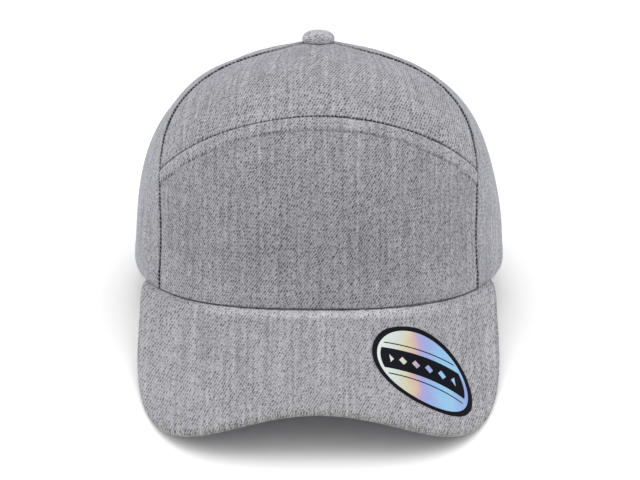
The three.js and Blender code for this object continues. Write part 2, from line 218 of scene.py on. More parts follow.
# What every finished piece says: the body it rides on and the solids it stands for
def settle(piece, slot, *nodes):
    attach(piece, "root")
    if nodes:
        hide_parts(*nodes)


# Materials

def hexColour(code):
    parts = [int(code[k:k + 2], 16) / 255 for k in (0, 2, 4)]
    return [p / 12.92 if p <= 0.04045 else ((p + 0.055) / 1.055) ** 2.4 for p in parts] + [1]


# Inputs go by name, or by number where they come as a list. Each is a value, a socket, or a node whose
# first output is meant.
def feed(node, inputs):
    for key, value in inputs.items() if isinstance(inputs, dict) else enumerate(inputs):
        if isinstance(value, bpy.types.Node):
            value = value.outputs[0]
        if isinstance(value, bpy.types.NodeSocket):
            node.id_data.links.new(value, node.inputs[key])
        else:
            node.inputs[key].default_value = value


def addNode(tree, kind, inputs=(), **settings):
    node = tree.nodes.new(kind)
    for key, value in settings.items():
        setattr(node, key, value)
    feed(node, inputs)
    return node


def newMaterial(name):
    material = bpy.data.materials.new(name)
    material.use_nodes = True
    tree = material.node_tree
    shader = tree.nodes["Principled BSDF"]
    return material, tree, shader


# Brushed twill of polyester and wool in mixed greys, woven with steep diagonal wales: matt and a little
# fuzzy, with short dark strokes in a lighter ground, thick and thin yarns, and single pale fibres
twill = {
    "shades": ("5f5e63", "b6b5ba"),     # darkest and lightest yarns
    "fleck": "cfccc6",
    "rimTint": (1.02, 1.0, 0.86, 1),    # the rim's stretched yarns are a little yellower
    "sheenTint": "e0e5f4",
    "waleMm": 1.1,                      # real wales are about 0.6 mm apart, drawn coarser so that they show
    "floatMm": 2.1,                     # from one stroke of a wale to the next, drawn coarser too
    "softMm": 0.45,                     # how softly a stroke fades into the ground
    "slope": 56,                        # degrees that the wales climb
    "stroke": 0.36, "ground": 1.12,     # brightness in a stroke, and between two
    "strayMm": 1.9, "strayPerMm": 0.16,
    "fibresPerMm": 1.0, "wornPerMm": 0.5, "flecksPerMm": 0.4, "cloudsPerMm": 0.05,
    "slubMm": 1.5, "slubLengthMm": 55,  # thick and thin yarns
    "crossSlub": 0.05, "clouds": 0.05,
    "stitchMm": 2.0,                    # dashes of shadow along a seam
    "tickMm": 1.2,                      # stretched yarns across the rim of the peak
    "reliefMm": 0.14,
}


def heatherTwill(name, tone, slub=0.2, contrast=1.0, lean=0):
    material, tree, shader = newMaterial(name)
    uv = addNode(tree, "ShaderNodeUVMap", uv_map="clothUv")
    marks = {key: addNode(tree, "ShaderNodeAttribute", attribute_name=key).outputs["Fac"] for key in (
        "rubbed", "edgeTicks", "edgeRun", "sideDitch", "sideRun", "archDitch", "archRun", "paintedShade")}

    # Wales that stray a little, each with its strokes set off by a share of its own
    wobble = addNode(tree, "ShaderNodeTexNoise", {
        "Vector": uv, "Scale": twill["strayPerMm"], "Detail": 3, "Roughness": 0.8})
    shift = addNode(tree, "ShaderNodeVectorMath", [wobble.outputs["Color"], (0.5, 0.5, 0.5)], operation="SUBTRACT")
    bent = addNode(tree, "ShaderNodeVectorMath", [shift, (twill["strayMm"], twill["strayMm"], 0), uv],
                   operation="MULTIPLY_ADD")
    turned = addNode(tree, "ShaderNodeMapping", {
        "Vector": bent, "Rotation": (0, 0, -math.radians(twill["slope"] + lean))})
    way = addNode(tree, "ShaderNodeSeparateXYZ", [turned]).outputs
    row = addNode(tree, "ShaderNodeMath", [way["Y"], twill["waleMm"]], operation="DIVIDE")
    row = addNode(tree, "ShaderNodeMath", [row], operation="FLOOR")
    start = addNode(tree, "ShaderNodeTexWhiteNoise", {"W": row}, noise_dimensions="1D").outputs["Value"]
    along = addNode(tree, "ShaderNodeMath", [start, twill["floatMm"], way["X"]], operation="MULTIPLY_ADD")
    place = addNode(tree, "ShaderNodeCombineXYZ", [along, way["Y"]])
    floats = addNode(tree, "ShaderNodeTexBrick", {
        "Vector": place, "Color1": (0, 0, 0, 1), "Color2": (1, 1, 1, 1), "Mortar": (0.5, 0.5, 0.5, 1),
        "Scale": 1, "Mortar Size": twill["softMm"], "Mortar Smooth": 1.0, "Bias": 0,
        "Brick Width": twill["floatMm"], "Row Height": twill["waleMm"]}, offset=0, offset_frequency=2)
    ground = floats.outputs["Fac"]

    # Each float of yarn has its own grey, mixed with the grey of its fibres
    fibres = addNode(tree, "ShaderNodeTexNoise", {
        "Vector": uv, "Scale": twill["fibresPerMm"], "Detail": 3, "Roughness": 0.9})
    specked = addNode(tree, "ShaderNodeMapRange", [fibres, 0.3, 0.7, 0, 1])
    shade = addNode(tree, "ShaderNodeMix", {0: 0.5, 2: floats, 3: specked})
    shade = addNode(tree, "ShaderNodeMath", [shade, contrast, 0.5 - 0.5 * contrast], operation="MULTIPLY_ADD")
    ramp = addNode(tree, "ShaderNodeValToRGB", [shade])
    for stop, position, colour in zip(ramp.color_ramp.elements, (0.1, 0.78), twill["shades"]):
        stop.position, stop.color = position, hexColour(colour)

    # What the grey is multiplied by. First thick and thin yarns both ways, and slow clouds
    factors = []
    thin, long = 1 / twill["slubMm"], 1 / twill["slubLengthMm"]
    for scale, strength in (((thin, long, 1), slub), ((long, thin, 1), twill["crossSlub"])):
        stretched = addNode(tree, "ShaderNodeMapping", {"Vector": uv, "Scale": scale})
        yarns = addNode(tree, "ShaderNodeTexNoise", {"Vector": stretched, "Scale": 1, "Detail": 2})
        factors.append(addNode(tree, "ShaderNodeMapRange", [yarns, 0.3, 0.7, 1 - strength, 1 + strength]))
    clouds = addNode(tree, "ShaderNodeTexNoise", {"Vector": uv, "Scale": twill["cloudsPerMm"], "Detail": 2})
    factors.append(addNode(tree, "ShaderNodeMapRange", [clouds, 0.3, 0.7, 1 - twill["clouds"], 1 + twill["clouds"]]))

    # The strokes, shallower where the cloth is worn
    worn = addNode(tree, "ShaderNodeTexNoise", {
        "Vector": uv, "Scale": twill["wornPerMm"], "Detail": 2, "Roughness": 0.6})
    worn = addNode(tree, "ShaderNodeMapRange", [worn, 0.36, 0.62, 0.65 * contrast, contrast])
    own = addNode(tree, "ShaderNodeMapRange", [floats, 0, 1, 1.1, 0.82])
    depth = addNode(tree, "ShaderNodeMath", [worn, own], operation="MULTIPLY")
    core = addNode(tree, "ShaderNodeMath", [1.0, ground], operation="SUBTRACT")
    core = addNode(tree, "ShaderNodeMath", [core, depth], operation="MULTIPLY")
    factors.append(addNode(tree, "ShaderNodeMath", [core, twill["stroke"] - twill["ground"], twill["ground"]],
                           operation="MULTIPLY_ADD"))
    # Painted light and shade carried by the mesh: highlights on ridges and on the tops of folds, shade in the folds'
    # hollows and over the lower front panel, and a paler peak and button
    factors.append(addNode(tree, "ShaderNodeMath", [marks["rubbed"], 1.0], operation="ADD"))

    # Uneven dark ticks where the yarns are stretched over the rim of the peak
    uneven = addNode(tree, "ShaderNodeTexNoise", {"W": marks["edgeRun"], "Scale": 0.45, "Detail": 2},
                     noise_dimensions="1D")
    beat = addNode(tree, "ShaderNodeMath", [uneven, 2 * twill["tickMm"], marks["edgeRun"]], operation="MULTIPLY_ADD")
    beat = addNode(tree, "ShaderNodeMath", [beat, twill["tickMm"] / 2], operation="PINGPONG")
    tick = addNode(tree, "ShaderNodeMapRange", [beat, 0.1 * twill["tickMm"], 0.36 * twill["tickMm"], -0.42, 0.1])
    strength = addNode(tree, "ShaderNodeMapRange", [uneven, 0.35, 0.6, 0.3, 1.1])
    tick = addNode(tree, "ShaderNodeMath", [tick, strength], operation="MULTIPLY")
    factors.append(addNode(tree, "ShaderNodeMath", [tick, marks["edgeTicks"], 1.0], operation="MULTIPLY_ADD"))

    # Painted broken shadow in a seam's ditch: dark between two stitches, lighter where each one pulls it shut
    dark = marks["paintedShade"]
    for seam in ("side", "arch"):
        run = marks[seam + "Run"]
        drift = addNode(tree, "ShaderNodeTexNoise", {"W": run, "Scale": 2.5, "Detail": 1}, noise_dimensions="1D")
        beat = addNode(tree, "ShaderNodeMath", [run, drift], operation="ADD")
        beat = addNode(tree, "ShaderNodeMath", [beat, twill["stitchMm"] / 2], operation="PINGPONG")
        dash = addNode(tree, "ShaderNodeMapRange", [beat, 0.06 * twill["stitchMm"], 0.2 * twill["stitchMm"], 0.1, 1],
                       interpolation_type="SMOOTHSTEP")
        dash = addNode(tree, "ShaderNodeMath", [marks[seam + "Ditch"], dash], operation="MULTIPLY")
        dark = addNode(tree, "ShaderNodeMath", [dark, dash], operation="MAXIMUM")
    factors.append(addNode(tree, "ShaderNodeMapRange", [dark, 0, 1, 1, 0.06]))
    tones = tone
    for factor in factors:
        tones = addNode(tree, "ShaderNodeMath", [tones, factor], operation="MULTIPLY")

    wrapped = addNode(tree, "ShaderNodeMath", [marks["edgeTicks"], 0.5], operation="MULTIPLY")
    warm = addNode(tree, "ShaderNodeMix", {"Factor": wrapped, "A": ramp.outputs["Color"], "B": twill["rimTint"]},
                   data_type="RGBA", blend_type="MULTIPLY").outputs["Result"]
    toned = addNode(tree, "ShaderNodeVectorMath", {0: warm, "Scale": tones}, operation="SCALE")
    flecks = addNode(tree, "ShaderNodeTexVoronoi", {"Vector": uv, "Scale": twill["flecksPerMm"], "Randomness": 1})
    fleck = addNode(tree, "ShaderNodeMapRange", [flecks, 0.06, 0.16, 0.5, 0])
    clear = addNode(tree, "ShaderNodeMath", [1.0, dark], operation="SUBTRACT")
    fleck = addNode(tree, "ShaderNodeMath", [fleck, clear], operation="MULTIPLY")
    coloured = addNode(tree, "ShaderNodeMix", {
        "Factor": fleck, "A": toned.outputs[0], "B": hexColour(twill["fleck"])}, data_type="RGBA")
    relief = addNode(tree, "ShaderNodeMix", {0: 0.4, 2: ground, 3: shade})
    bump = addNode(tree, "ShaderNodeBump", {
        "Height": relief, "Strength": 0.8, "Distance": twill["reliefMm"] * metresPerMm})
    feed(shader, {
        "Base Color": coloured.outputs["Result"], "Normal": bump, "Roughness": 0.92, "Specular IOR Level": 0.2,
        "Sheen Weight": 0.3, "Sheen Roughness": 0.45, "Sheen Tint": hexColour(twill["sheenTint"])})
    return material


# Spun polyester sewing thread: matt, uneven where its two plies are twisted together
def spunThread(name, colour):
    material, tree, shader = newMaterial(name)
    place = addNode(tree, "ShaderNodeTexCoord").outputs["Object"]
    noise = addNode(tree, "ShaderNodeTexNoise", {"Vector": place, "Scale": 1500, "Detail": 2})
    tone = addNode(tree, "ShaderNodeMapRange", [noise, 0.3, 0.7, 0.8, 1.15])
    shaded = addNode(tree, "ShaderNodeVectorMath", {0: hexColour(colour)[:3], "Scale": tone}, operation="SCALE")
    bump = addNode(tree, "ShaderNodeBump", {"Height": noise, "Strength": 0.5, "Distance": 0.1 * metresPerMm})
    feed(shader, {"Base Color": shaded, "Normal": bump, "Roughness": 0.85})
    return material


# Woven cotton tape of the sweatband: fine crosswise ribs, soft and matt
def plainTape(name):
    material, tree, shader = newMaterial(name)
    uv = addNode(tree, "ShaderNodeUVMap", uv_map="clothUv")
    ribs = addNode(tree, "ShaderNodeTexBrick", {
        "Vector": uv, "Color1": hexColour("7a7981"), "Color2": hexColour("96959c"), "Mortar": hexColour("605f66"),
        "Scale": 1, "Mortar Size": 0.1, "Mortar Smooth": 1, "Brick Width": 0.9, "Row Height": 1.3})
    rib = addNode(tree, "ShaderNodeMath", [1.0, ribs.outputs["Fac"]], operation="SUBTRACT")
    bump = addNode(tree, "ShaderNodeBump", {"Height": rib, "Strength": 0.6, "Distance": 0.1 * metresPerMm})
    feed(shader, {"Base Color": ribs, "Normal": bump, "Roughness": 0.95, "Sheen Weight": 0.2})
    return material


# Moulded polyethylene strap: satin, with the fine grain of its mould and faint handling marks
def mouldedPlastic(name):
    material, tree, shader = newMaterial(name)
    place = addNode(tree, "ShaderNodeTexCoord").outputs["Object"]
    grain = addNode(tree, "ShaderNodeTexNoise", {"Vector": place, "Scale": 2200, "Detail": 3})
    handled = addNode(tree, "ShaderNodeTexNoise", {"Vector": place, "Scale": 90, "Detail": 3})
    grey = addNode(tree, "ShaderNodeMix", {
        "Factor": handled.outputs["Fac"], "A": hexColour("7b7b82"), "B": hexColour("8b8b92")}, data_type="RGBA")
    rough = addNode(tree, "ShaderNodeMapRange", [handled, 0.3, 0.7, 0.38, 0.52])
    bump = addNode(tree, "ShaderNodeBump", {"Height": grain, "Strength": 0.25, "Distance": 0.06 * metresPerMm})
    feed(shader, {"Base Color": grey.outputs["Result"], "Normal": bump, "Roughness": rough, "IOR": 1.51})
    return material


clothTwill = heatherTwill("heatherTwill", tone=0.93)
peakTwill = heatherTwill("heatherTwillPeak", tone=0.86, slub=0.18, contrast=0.87, lean=8)
upperTwill = heatherTwill("heatherTwillUpper", tone=0.91, contrast=1.05, lean=14)
seamThread = spunThread("spunGreyThread", "8b8a91")
bandTape = plainTape("plainTape")
strapPlastic = mouldedPlastic("mouldedPolyethylene")
print("materials made")


# Cloth panels of the crown

cloth = {
    "thick": 2.0,
    "spacing": 1.25,                                  # mm between the lines of the grid
    "edgeSteps": (0, 0.1, 0.3, 0.6, 1.0, 1.6, 2.6),   # mm from a seam, close where the cloth rolls over
    "lap": 0.06, "archLap": 0.0009,                   # degrees and share that an edge presses into the next
    "allowance": (0.6, 2.2, 6.7, 8.7),                # mm from a seam where what is turned under lifts the face
    "allowanceRise": 0.22,
    "hem": (1, 2.5, 8, 10), "hemRise": 0.25,          # the same over the rim
    "pucker": 0.16, "puckerWave": 7, "puckerReach": 4.5,
    "waviness": 0.45, "waveLength": 45,
    "calmSides": 18, "calmTop": 30,                   # mm from its seams where the cloth is drawn smooth
    "inside": 0.3,                                    # share of the relief that also shows inside
    "ditchFade": 0.55, "ditchFadeFrom": (0.8, 0.96),  # the seams' shadow is fainter near the button
    "top": 0.982,
}
topStitch = {
    "below": 8.0, "groove": 0.45, "width": 0.8, "band": (0.6, 1.8, 7.5, 8.7), "bandRise": 0.5,
    # shade: painted shade in the groove of the row of stitches
    "pucker": 0.14, "puckerWave": 5.5, "puckerReach": 3, "shade": 0.65, "shadeWidth": 0.55,
}
archShade = {"fade": 0.4, "fadeFrom": (48, 72)}       # the arched seam's shadow is fainter at its ends


# How far the face has rolled down at a distance from an edge: a quarter circle of half the thickness
def edgeRoll(distance, thick):
    half = thick / 2
    near = np.clip(half - distance, 0, half)
    return half - np.sqrt(half * half - near * near)


# Puckers along a seam or a row of stitches, dying out with the distance from it
def puckers(piece, along, distance, seed):
    return piece["pucker"] * ripple(along, 0, piece["puckerWave"], seed) * np.exp(-distance / piece["puckerReach"])


# Height of the face near a seam: the turned allowance lies under it, and the stitches pull it in
def seamRelief(distance, along, seed):
    pull = puckers(cloth, along, distance, seed) * smooth(distance, 0, 1.0)
    return cloth["allowanceRise"] * raised(distance, *cloth["allowance"]) + pull


# Painted shade in the ditch between two panels, from 1 at the seam to 0
def ditch(distance, width):
    return 1 - smooth(distance, 0.5 * width, width)


# Shares across a panel at one height, at even steps in mm, with close steps beside the two seams
def columnShares(place, v, count):
    trial = np.linspace(0, 1, 61)
    run = lengthAlong(crownPoint(*place(trial, np.full(61, v))), 0)
    near = np.array(cloth["edgeSteps"]) * min(1, run[-1] / (3 * cloth["edgeSteps"][-1]))
    middle = np.linspace(near[-1], run[-1] - near[-1], count + 1)[1:-1]
    return np.interp(np.concatenate([near, middle, (run[-1] - near)[::-1]]), run, trial)


# Shares up a panel of about this height in mm, with close steps beside its lower edge and, if asked, its top
def rowShares(height, closeTop):
    near = np.array(cloth["edgeSteps"])
    high = (height - near)[::-1] if closeTop else np.array([height])
    count = int((high[0] - near[-1]) / cloth["spacing"])
    middle = np.linspace(near[-1], high[0], count + 1)[1:-1]
    return np.concatenate([near, middle, high]) / height


# A sewn panel: two faces with rolled edges. place gives azimuth and t, relief the face's unevenness, and
# the panel's dictionary the turn and scale of its weave and where in the cloth it was cut.
def clothPanel(name, place, rows, panel, relief, side=1, material=clothTwill):
    count = int(panel["width"] / cloth["spacing"])
    u = np.stack([columnShares(place, v, count) for v in rows], axis=1)
    azimuth, t = place(u, np.broadcast_to(rows, u.shape))
    base = crownPoint(azimuth, t)
    normal = crownNormal(azimuth, t)
    across = lengthAlong(base, 0)
    up = lengthAlong(base, 1)
    x, y, z = np.moveaxis(base, -1, 0)
    form = relief({"azimuth": azimuth, "t": t, "left": across, "right": across[-1] - across, "up": up,
                   "down": up[:, -1:] - up, "x": x, "y": y, "z": z})
    roll = edgeRoll(form["edge"], cloth["thick"])
    outer = base + normal * (form["height"] - roll)[..., None]
    inner = base - normal * (cloth["thick"] - roll - cloth["inside"] * form["height"])[..., None]
    points, faces = closedSkin(outer, inner)
    turn = math.radians(panel["uvTurn"] * side)
    flat = np.stack([across - across[-1] / 2, up], axis=-1).reshape(-1, 2)
    spin = np.array([[math.cos(turn), -math.sin(turn)], [math.sin(turn), math.cos(turn)]])
    uv = flat @ spin.T * panel["uvScale"] + (panel["uvShift"][0] * side, panel["uvShift"][1])
    # Marks for the twill: painted shade in the seams' ditches, and painted light and shade on the cloth
    marks = {"sideDitch": form["shade"], "sideRun": up, "archDitch": form.get("arch", 0 * up), "archRun": x,
             "rubbed": form.get("rubbed", 0 * up), "paintedShade": 0 * up}
    marks = {key: np.tile(value.ravel(), 2) for key, value in marks.items()}
    settle(makePiece(name, points, faces, material, np.tile(uv, (2, 1)), marks), "cap_cloth", name)


# Unevenness that every panel shares: allowances, puckers and the slow waviness of pressed cloth
def sideRelief(at, seed, ditches=(("left", 1.6), ("right", 1.6))):
    wave = cloth["waviness"] * ripple(at["x"] + at["y"], at["z"], cloth["waveLength"], seed)
    wave = wave * smooth(np.minimum(at["left"], at["right"]), 0, cloth["calmSides"])
    height = wave * smooth(at["down"], 0, cloth["calmTop"])
    shade, edge = 0, np.inf
    for k, (side, width) in enumerate(ditches):
        height = height + seamRelief(at[side], at["up"], seed + 1 + k)
        shade = np.maximum(shade, ditch(at[side], width))
        edge = np.minimum(edge, at[side])
    return height, shade * (1 - cloth["ditchFade"] * smooth(at["t"], *cloth["ditchFadeFrom"])), edge


def hemRelief(at):
    return cloth["hemRise"] * raised(at["up"], *cloth["hem"])


# Painted shade in the arched seam's ditch, fainter towards its ends
def archDark(x, fromArch, dark, width):
    return (dark - archShade["fade"] * smooth(np.abs(x), *archShade["fadeFrom"])) * ditch(fromArch, width)


frontLower = {
    "height": 80, "width": 165,
    "pucker": 0.2, "puckerWave": 6, "puckerReach": 2.5,               # along the arched seam
    "foot": (2, 6, 9, 12), "footRise": 0.15,                          # over the seam with the peak
    "edgeHighlight": 0.1, "bandHighlight": 0.12, "footHighlight": 0.08,                 # painted highlights along the raised band and the allowances' edges
    # The whole panel is painted a little darker as shade, for less light on its upright face, and paler towards its
    # foot
    "tone": -0.1, "paleFoot": 0.17, "paleFootReach": 30,
    "archDark": 0.95, "archWidth": 1.0,
    "uvTurn": 0, "uvScale": 1.0, "uvShift": (0, 0),
}


def frontLowerPanel():
    def place(u, v):
        side = 2 * u - 1
        t = v * (archHeight(side) + cloth["archLap"])
        return side * (seamAzimuth(frontSeam, t) + cloth["lap"]), t

    def relief(at):
        height, shade, edge = sideRelief(at, 11)
        fromArch, up, x = at["down"], at["up"], at["x"]
        band = raised(fromArch, *topStitch["band"])
        height = height + topStitch["bandRise"] * band
        height = height - topStitch["groove"] * line(fromArch, topStitch["below"], topStitch["width"])
        height = height + puckers(topStitch, x, np.abs(fromArch - topStitch["below"]), 14)
        height = height + puckers(frontLower, x, fromArch, 15) * smooth(fromArch, 0, 0.8)
        height = height + frontLower["footRise"] * raised(up, *frontLower["foot"])
        # Painted highlights on the raised band and the allowances' edges, painted shade over the whole panel, and
        # paler towards its foot
        rubbed = frontLower["bandHighlight"] * band + frontLower["edgeHighlight"] * line(fromArch, 1.3, 0.5)
        rubbed = rubbed + frontLower["footHighlight"] * line(up, 6.8, 0.6) + frontLower["tone"]
        rubbed = rubbed + frontLower["paleFoot"] * (1 - smooth(up, 0, frontLower["paleFootReach"]))
        arch = archDark(x, fromArch, frontLower["archDark"], frontLower["archWidth"])
        return {"height": height, "shade": shade, "rubbed": rubbed,
                "arch": arch + topStitch["shade"] * line(fromArch, topStitch["below"], topStitch["shadeWidth"]),
                "edge": np.minimum(edge, np.minimum(fromArch, up))}

    clothPanel("front_lower_panel", place, rowShares(frontLower["height"], closeTop=True), frontLower, relief)


frontUpper = {
    "height": 75, "width": 165, "ditchWidth": 1.9,
    "allowance": (0.6, 1.8, 6.5, 7.8), "allowanceRise": 0.2,          # turned under, above the arched seam
    "pucker": 0.1, "puckerWave": 6, "puckerReach": 4,
    "ridgeHighlight": 0.2, "highlightAt": 6.6, "highlightWidth": 0.7, "highlightFade": (35, 60),   # painted highlight along the allowance's edge
    "archDark": 0.9, "archWidth": 0.9,
    "uvTurn": 0, "uvScale": 0.82, "uvShift": (40, 97),
}


def frontUpperPanel():
    def place(u, v):
        side = 2 * u - 1
        arch = archHeight(side) - cloth["archLap"]
        t = arch + (cloth["top"] - arch) * v
        return side * (seamAzimuth(frontSeam, t) + cloth["lap"]), t

    def relief(at):
        height, shade, edge = sideRelief(at, 21, [(seam, frontUpper["ditchWidth"]) for seam in ("left", "right")])
        fromArch, x = at["up"], at["x"]
        height = height + frontUpper["allowanceRise"] * raised(fromArch, *frontUpper["allowance"])
        height = height + puckers(frontUpper, x, fromArch, 24) * smooth(fromArch, 0, 1)
        # Painted highlight along the edge of the turned allowance, fading towards the sides
        rubbed = frontUpper["ridgeHighlight"] * line(fromArch, frontUpper["highlightAt"], frontUpper["highlightWidth"])
        return {"height": height, "shade": shade,
                "rubbed": rubbed * (1 - smooth(np.abs(x), *frontUpper["highlightFade"])),
                "arch": archDark(x, fromArch, frontUpper["archDark"], frontUpper["archWidth"]),
                "edge": np.minimum(edge, fromArch)}

    clothPanel("front_upper_panel", place, rowShares(frontUpper["height"], closeTop=False), frontUpper, relief,
               material=upperTwill)


# Soft upright folds low on the side panels: where, how long and wide, and how high they stand
folds = [
    {"side": -1, "azimuth": 67, "t": 0.12, "length": 13, "width": 1.7, "rise": 0.55},
    {"side": -1, "azimuth": 72, "t": 0.14, "length": 15, "width": 2.0, "rise": -0.45},
    {"side": -1, "azimuth": 78, "t": 0.13, "length": 16, "width": 2.2, "rise": 0.6},
    {"side": -1, "azimuth": 95, "t": 0.16, "length": 22, "width": 6, "rise": -0.5},
    {"side": 1, "azimuth": 66, "t": 0.11, "length": 12, "width": 2.4, "rise": 0.4},
    {"side": 1, "azimuth": 77, "t": 0.15, "length": 18, "width": 3.2, "rise": 0.5},
    {"side": 1, "azimuth": 104, "t": 0.2, "length": 22, "width": 7, "rise": -0.5},
]


def foldRelief(at, side):
    height = 0
    for fold in folds:
        if fold["side"] == side:
            middle = crownPoint(side * fold["azimuth"], fold["t"])
            across = np.hypot(at["x"] - middle[0], at["y"] - middle[1])
            height = height + fold["rise"] * np.exp(
                -(across / fold["width"]) ** 2 - ((at["z"] - middle[2]) / fold["length"]) ** 2)
    return height


sidePanels = {
    "height": 150, "width": 105, "frontDitch": 1.3, "backDitch": 0.9,
    "lip": 0.55, "lipWidth": 5, "lipFrom": (0.25, 0.5, 0.85, 0.97),   # stands up along the front seam
    "foldShading": 0.3,                                                   # painted light and shade: folds lighter on their tops, darker in their hollows
    "uvTurn": 4, "uvScale": 0.92, "uvShift": (300, 13),
}


# On the right the front seam is at a panel's left edge, and on the left at its right edge
def sidePanel(side, name):
    front, back = ("left", "right") if side > 0 else ("right", "left")

    def place(u, v):
        t = v * cloth["top"]
        share = u if side > 0 else 1 - u
        low, high = seamAzimuth(frontSeam, t) - cloth["lap"], seamAzimuth(backSeam, t) + cloth["lap"]
        return side * (low + (high - low) * share), t

    def relief(at):
        ditches = sorted([(front, sidePanels["frontDitch"]), (back, sidePanels["backDitch"])])
        height, shade, edge = sideRelief(at, 31 if side > 0 else 41, ditches)
        lip = sidePanels["lip"] * raised(at["t"], *sidePanels["lipFrom"])
        stand = foldRelief(at, side)
        height = height + hemRelief(at) + lip * np.exp(-(at[front] / sidePanels["lipWidth"]) ** 2) + stand
        # Painted light and shade on the folds: lighter on their tops, darker in their hollows
        return {"height": height, "shade": shade, "rubbed": sidePanels["foldShading"] * stand,
                "edge": np.minimum(edge, at["up"])}

    clothPanel(name, place, rowShares(sidePanels["height"], closeTop=False), sidePanels, relief, side)


backPanels = {
    "height": 165, "width": 85, "ditch": 0.9, "archRows": 26, "upperRows": 85,
    "allowance": (1, 2.2, 7, 8.5), "allowanceRise": 0.3,              # turned under, round the opening
    "uvTurn": -3, "uvScale": 1.0, "uvShift": (600, 29),
}


def backPanel(side, name):
    seam, middle = ("left", "right") if side > 0 else ("right", "left")
    top, halfAngle = backOpening["top"], backOpening["halfAngle"]
    archRows = top * np.sin(np.linspace(0, 1, backPanels["archRows"]) * math.pi / 2)
    hemRows = np.array(cloth["edgeSteps"][1:]) / backPanels["height"]
    lowRows = np.unique(np.concatenate([[0], hemRows, archRows[archRows > hemRows[-1] * 1.3]]))
    rows = np.concatenate([lowRows, np.linspace(top, cloth["top"], backPanels["upperRows"])[1:]])

    def place(u, v):
        share = np.minimum(v / top, 1)
        half = halfAngle * np.sqrt(1 - share * share) - cloth["lap"] * (v >= top)
        low, high = seamAzimuth(backSeam, v) - cloth["lap"], 180 - half
        return side * (low + (high - low) * (u if side > 0 else 1 - u)), v

    # Distance from the arched opening below its top, and from the panels' middle seam above it
    def relief(at):
        height, shade, edge = sideRelief(at, 51 if side > 0 else 61, [(seam, backPanels["ditch"])])
        away = np.clip(np.abs(180 - np.abs(at["azimuth"])) / halfAngle, 0, 1)
        over = np.maximum(at["t"] - top * np.sqrt(1 - away * away), 0) * mmPerShare
        across = at[middle]
        above = at["t"] >= top
        opening = np.where(above, over, across * over / np.maximum(np.hypot(across, over), 1e-9))
        opening = np.where(away >= 1, across, opening)
        height = height + backPanels["allowanceRise"] * raised(opening, *backPanels["allowance"]) + hemRelief(at)
        height = height + np.where(above, seamRelief(across, at["up"], 55), 0)
        edge = np.minimum(edge, np.minimum(opening, at["up"]))
        middleDitch = np.where(above, ditch(across, backPanels["ditch"]), 0)
        return {"height": height, "shade": np.maximum(shade, middleDitch),
                "edge": np.where(above, np.minimum(edge, across), edge)}

    clothPanel(name, place, rows, backPanels, relief, side)


frontLowerPanel()
frontUpperPanel()
for side, word in ((-1, "left"), (1, "right")):
    sidePanel(side, "side_panel_" + word)
    backPanel(side, "back_panel_" + word)
print("crown panels sewn")


# Peak

peak = {
    "halfWidth": 86.7, "droop": 27.3, "sideDroop": -2.2, "bow": 20.8, "thick": 3.0, "tuck": 1.5, "tuckRun": 8,
    "sides": -35, "front": 66.2, "power": 3.92, "gap": 0.3, "columns": 150, "rows": 90, "rollSteps": 9,
    "ledge": 2.0,
    "flare": 1.5, "flareRun": 10,     # the cloth cover stands out over the board's sides
    "closeRows": (0, 0.3, 0.7, 1.2, 2, 3, 4.2), "closeOf": 80,        # mm from the crown, out of about 80
    "uvScale": 0.9, "undersideUv": (0, 400),
    "cover": 0.2, "swell": 0.9, "swellRun": (0, 4, 5, 26), "sinkRun": (5, 20),
    "pucker": 0.22, "puckerWave": 7, "puckerReach": 1.5,
    "wave": 0.3, "waveLength": 60, "calm": 12, "dimple": 0.06, "dimpleLength": 9,
    # Painted shadow in the gap where the cover goes in under the crown, a painted highlight on its swell just in
    # front of it, and the whole cover a little paler
    "seamDark": 0.9, "seamDarkRun": 0.7, "seamDarkTo": (74, 82),
    "light": 0.1, "seamHighlight": 0.5, "seamHighlightRun": (0.3, 1, 4, 8), "seamHighlightTo": (40, 70),
    "tickWidth": (0.3, 2.0), "tickFrom": (20, 60),
}


def rimAt(x):
    share = 1 - (np.abs(x) / crown["halfWidth"]) ** crown["frontPower"]
    y = -crown["front"] * share ** (1 / crown["frontPower"])
    return y, np.degrees(np.arctan2(np.abs(x), -y))


def peakPoint(x, run):
    y, azimuth = rimAt(x)
    bow = (x / peak["halfWidth"]) ** 2
    droop = np.radians(peak["droop"] + peak["sideDroop"] * bow)
    tuck = np.sign(x) * peak["tuck"] * bow ** 4 * np.exp(-run / peak["tuckRun"])
    flare = peak["flare"] * x / peak["halfWidth"] * (1 - np.exp(-run / peak["flareRun"]))
    return np.stack([
        x - tuck + flare,
        y - run * np.cos(droop),
        liftAt(azimuth) - peak["gap"] - run * np.sin(droop) - peak["bow"] * bow * run / 100,
    ], axis=-1)


def peakNormal(x, run):
    run = np.maximum(run, 0.5)
    along = peakPoint(x + 0.2, run) - peakPoint(x - 0.2, run)
    down = peakPoint(x, run + 0.2) - peakPoint(x, run - 0.2)
    return unit(np.cross(down, along))


def peakReach(x):
    share = np.minimum(np.abs(x) / peak["halfWidth"], 1)
    edge = peak["sides"] + (peak["front"] - peak["sides"]) * np.sqrt(1 - share ** peak["power"])
    droop = np.radians(peak["droop"] + peak["sideDroop"] * share ** 2)
    return edge + (crown["front"] + rimAt(x)[0]) / np.cos(droop)


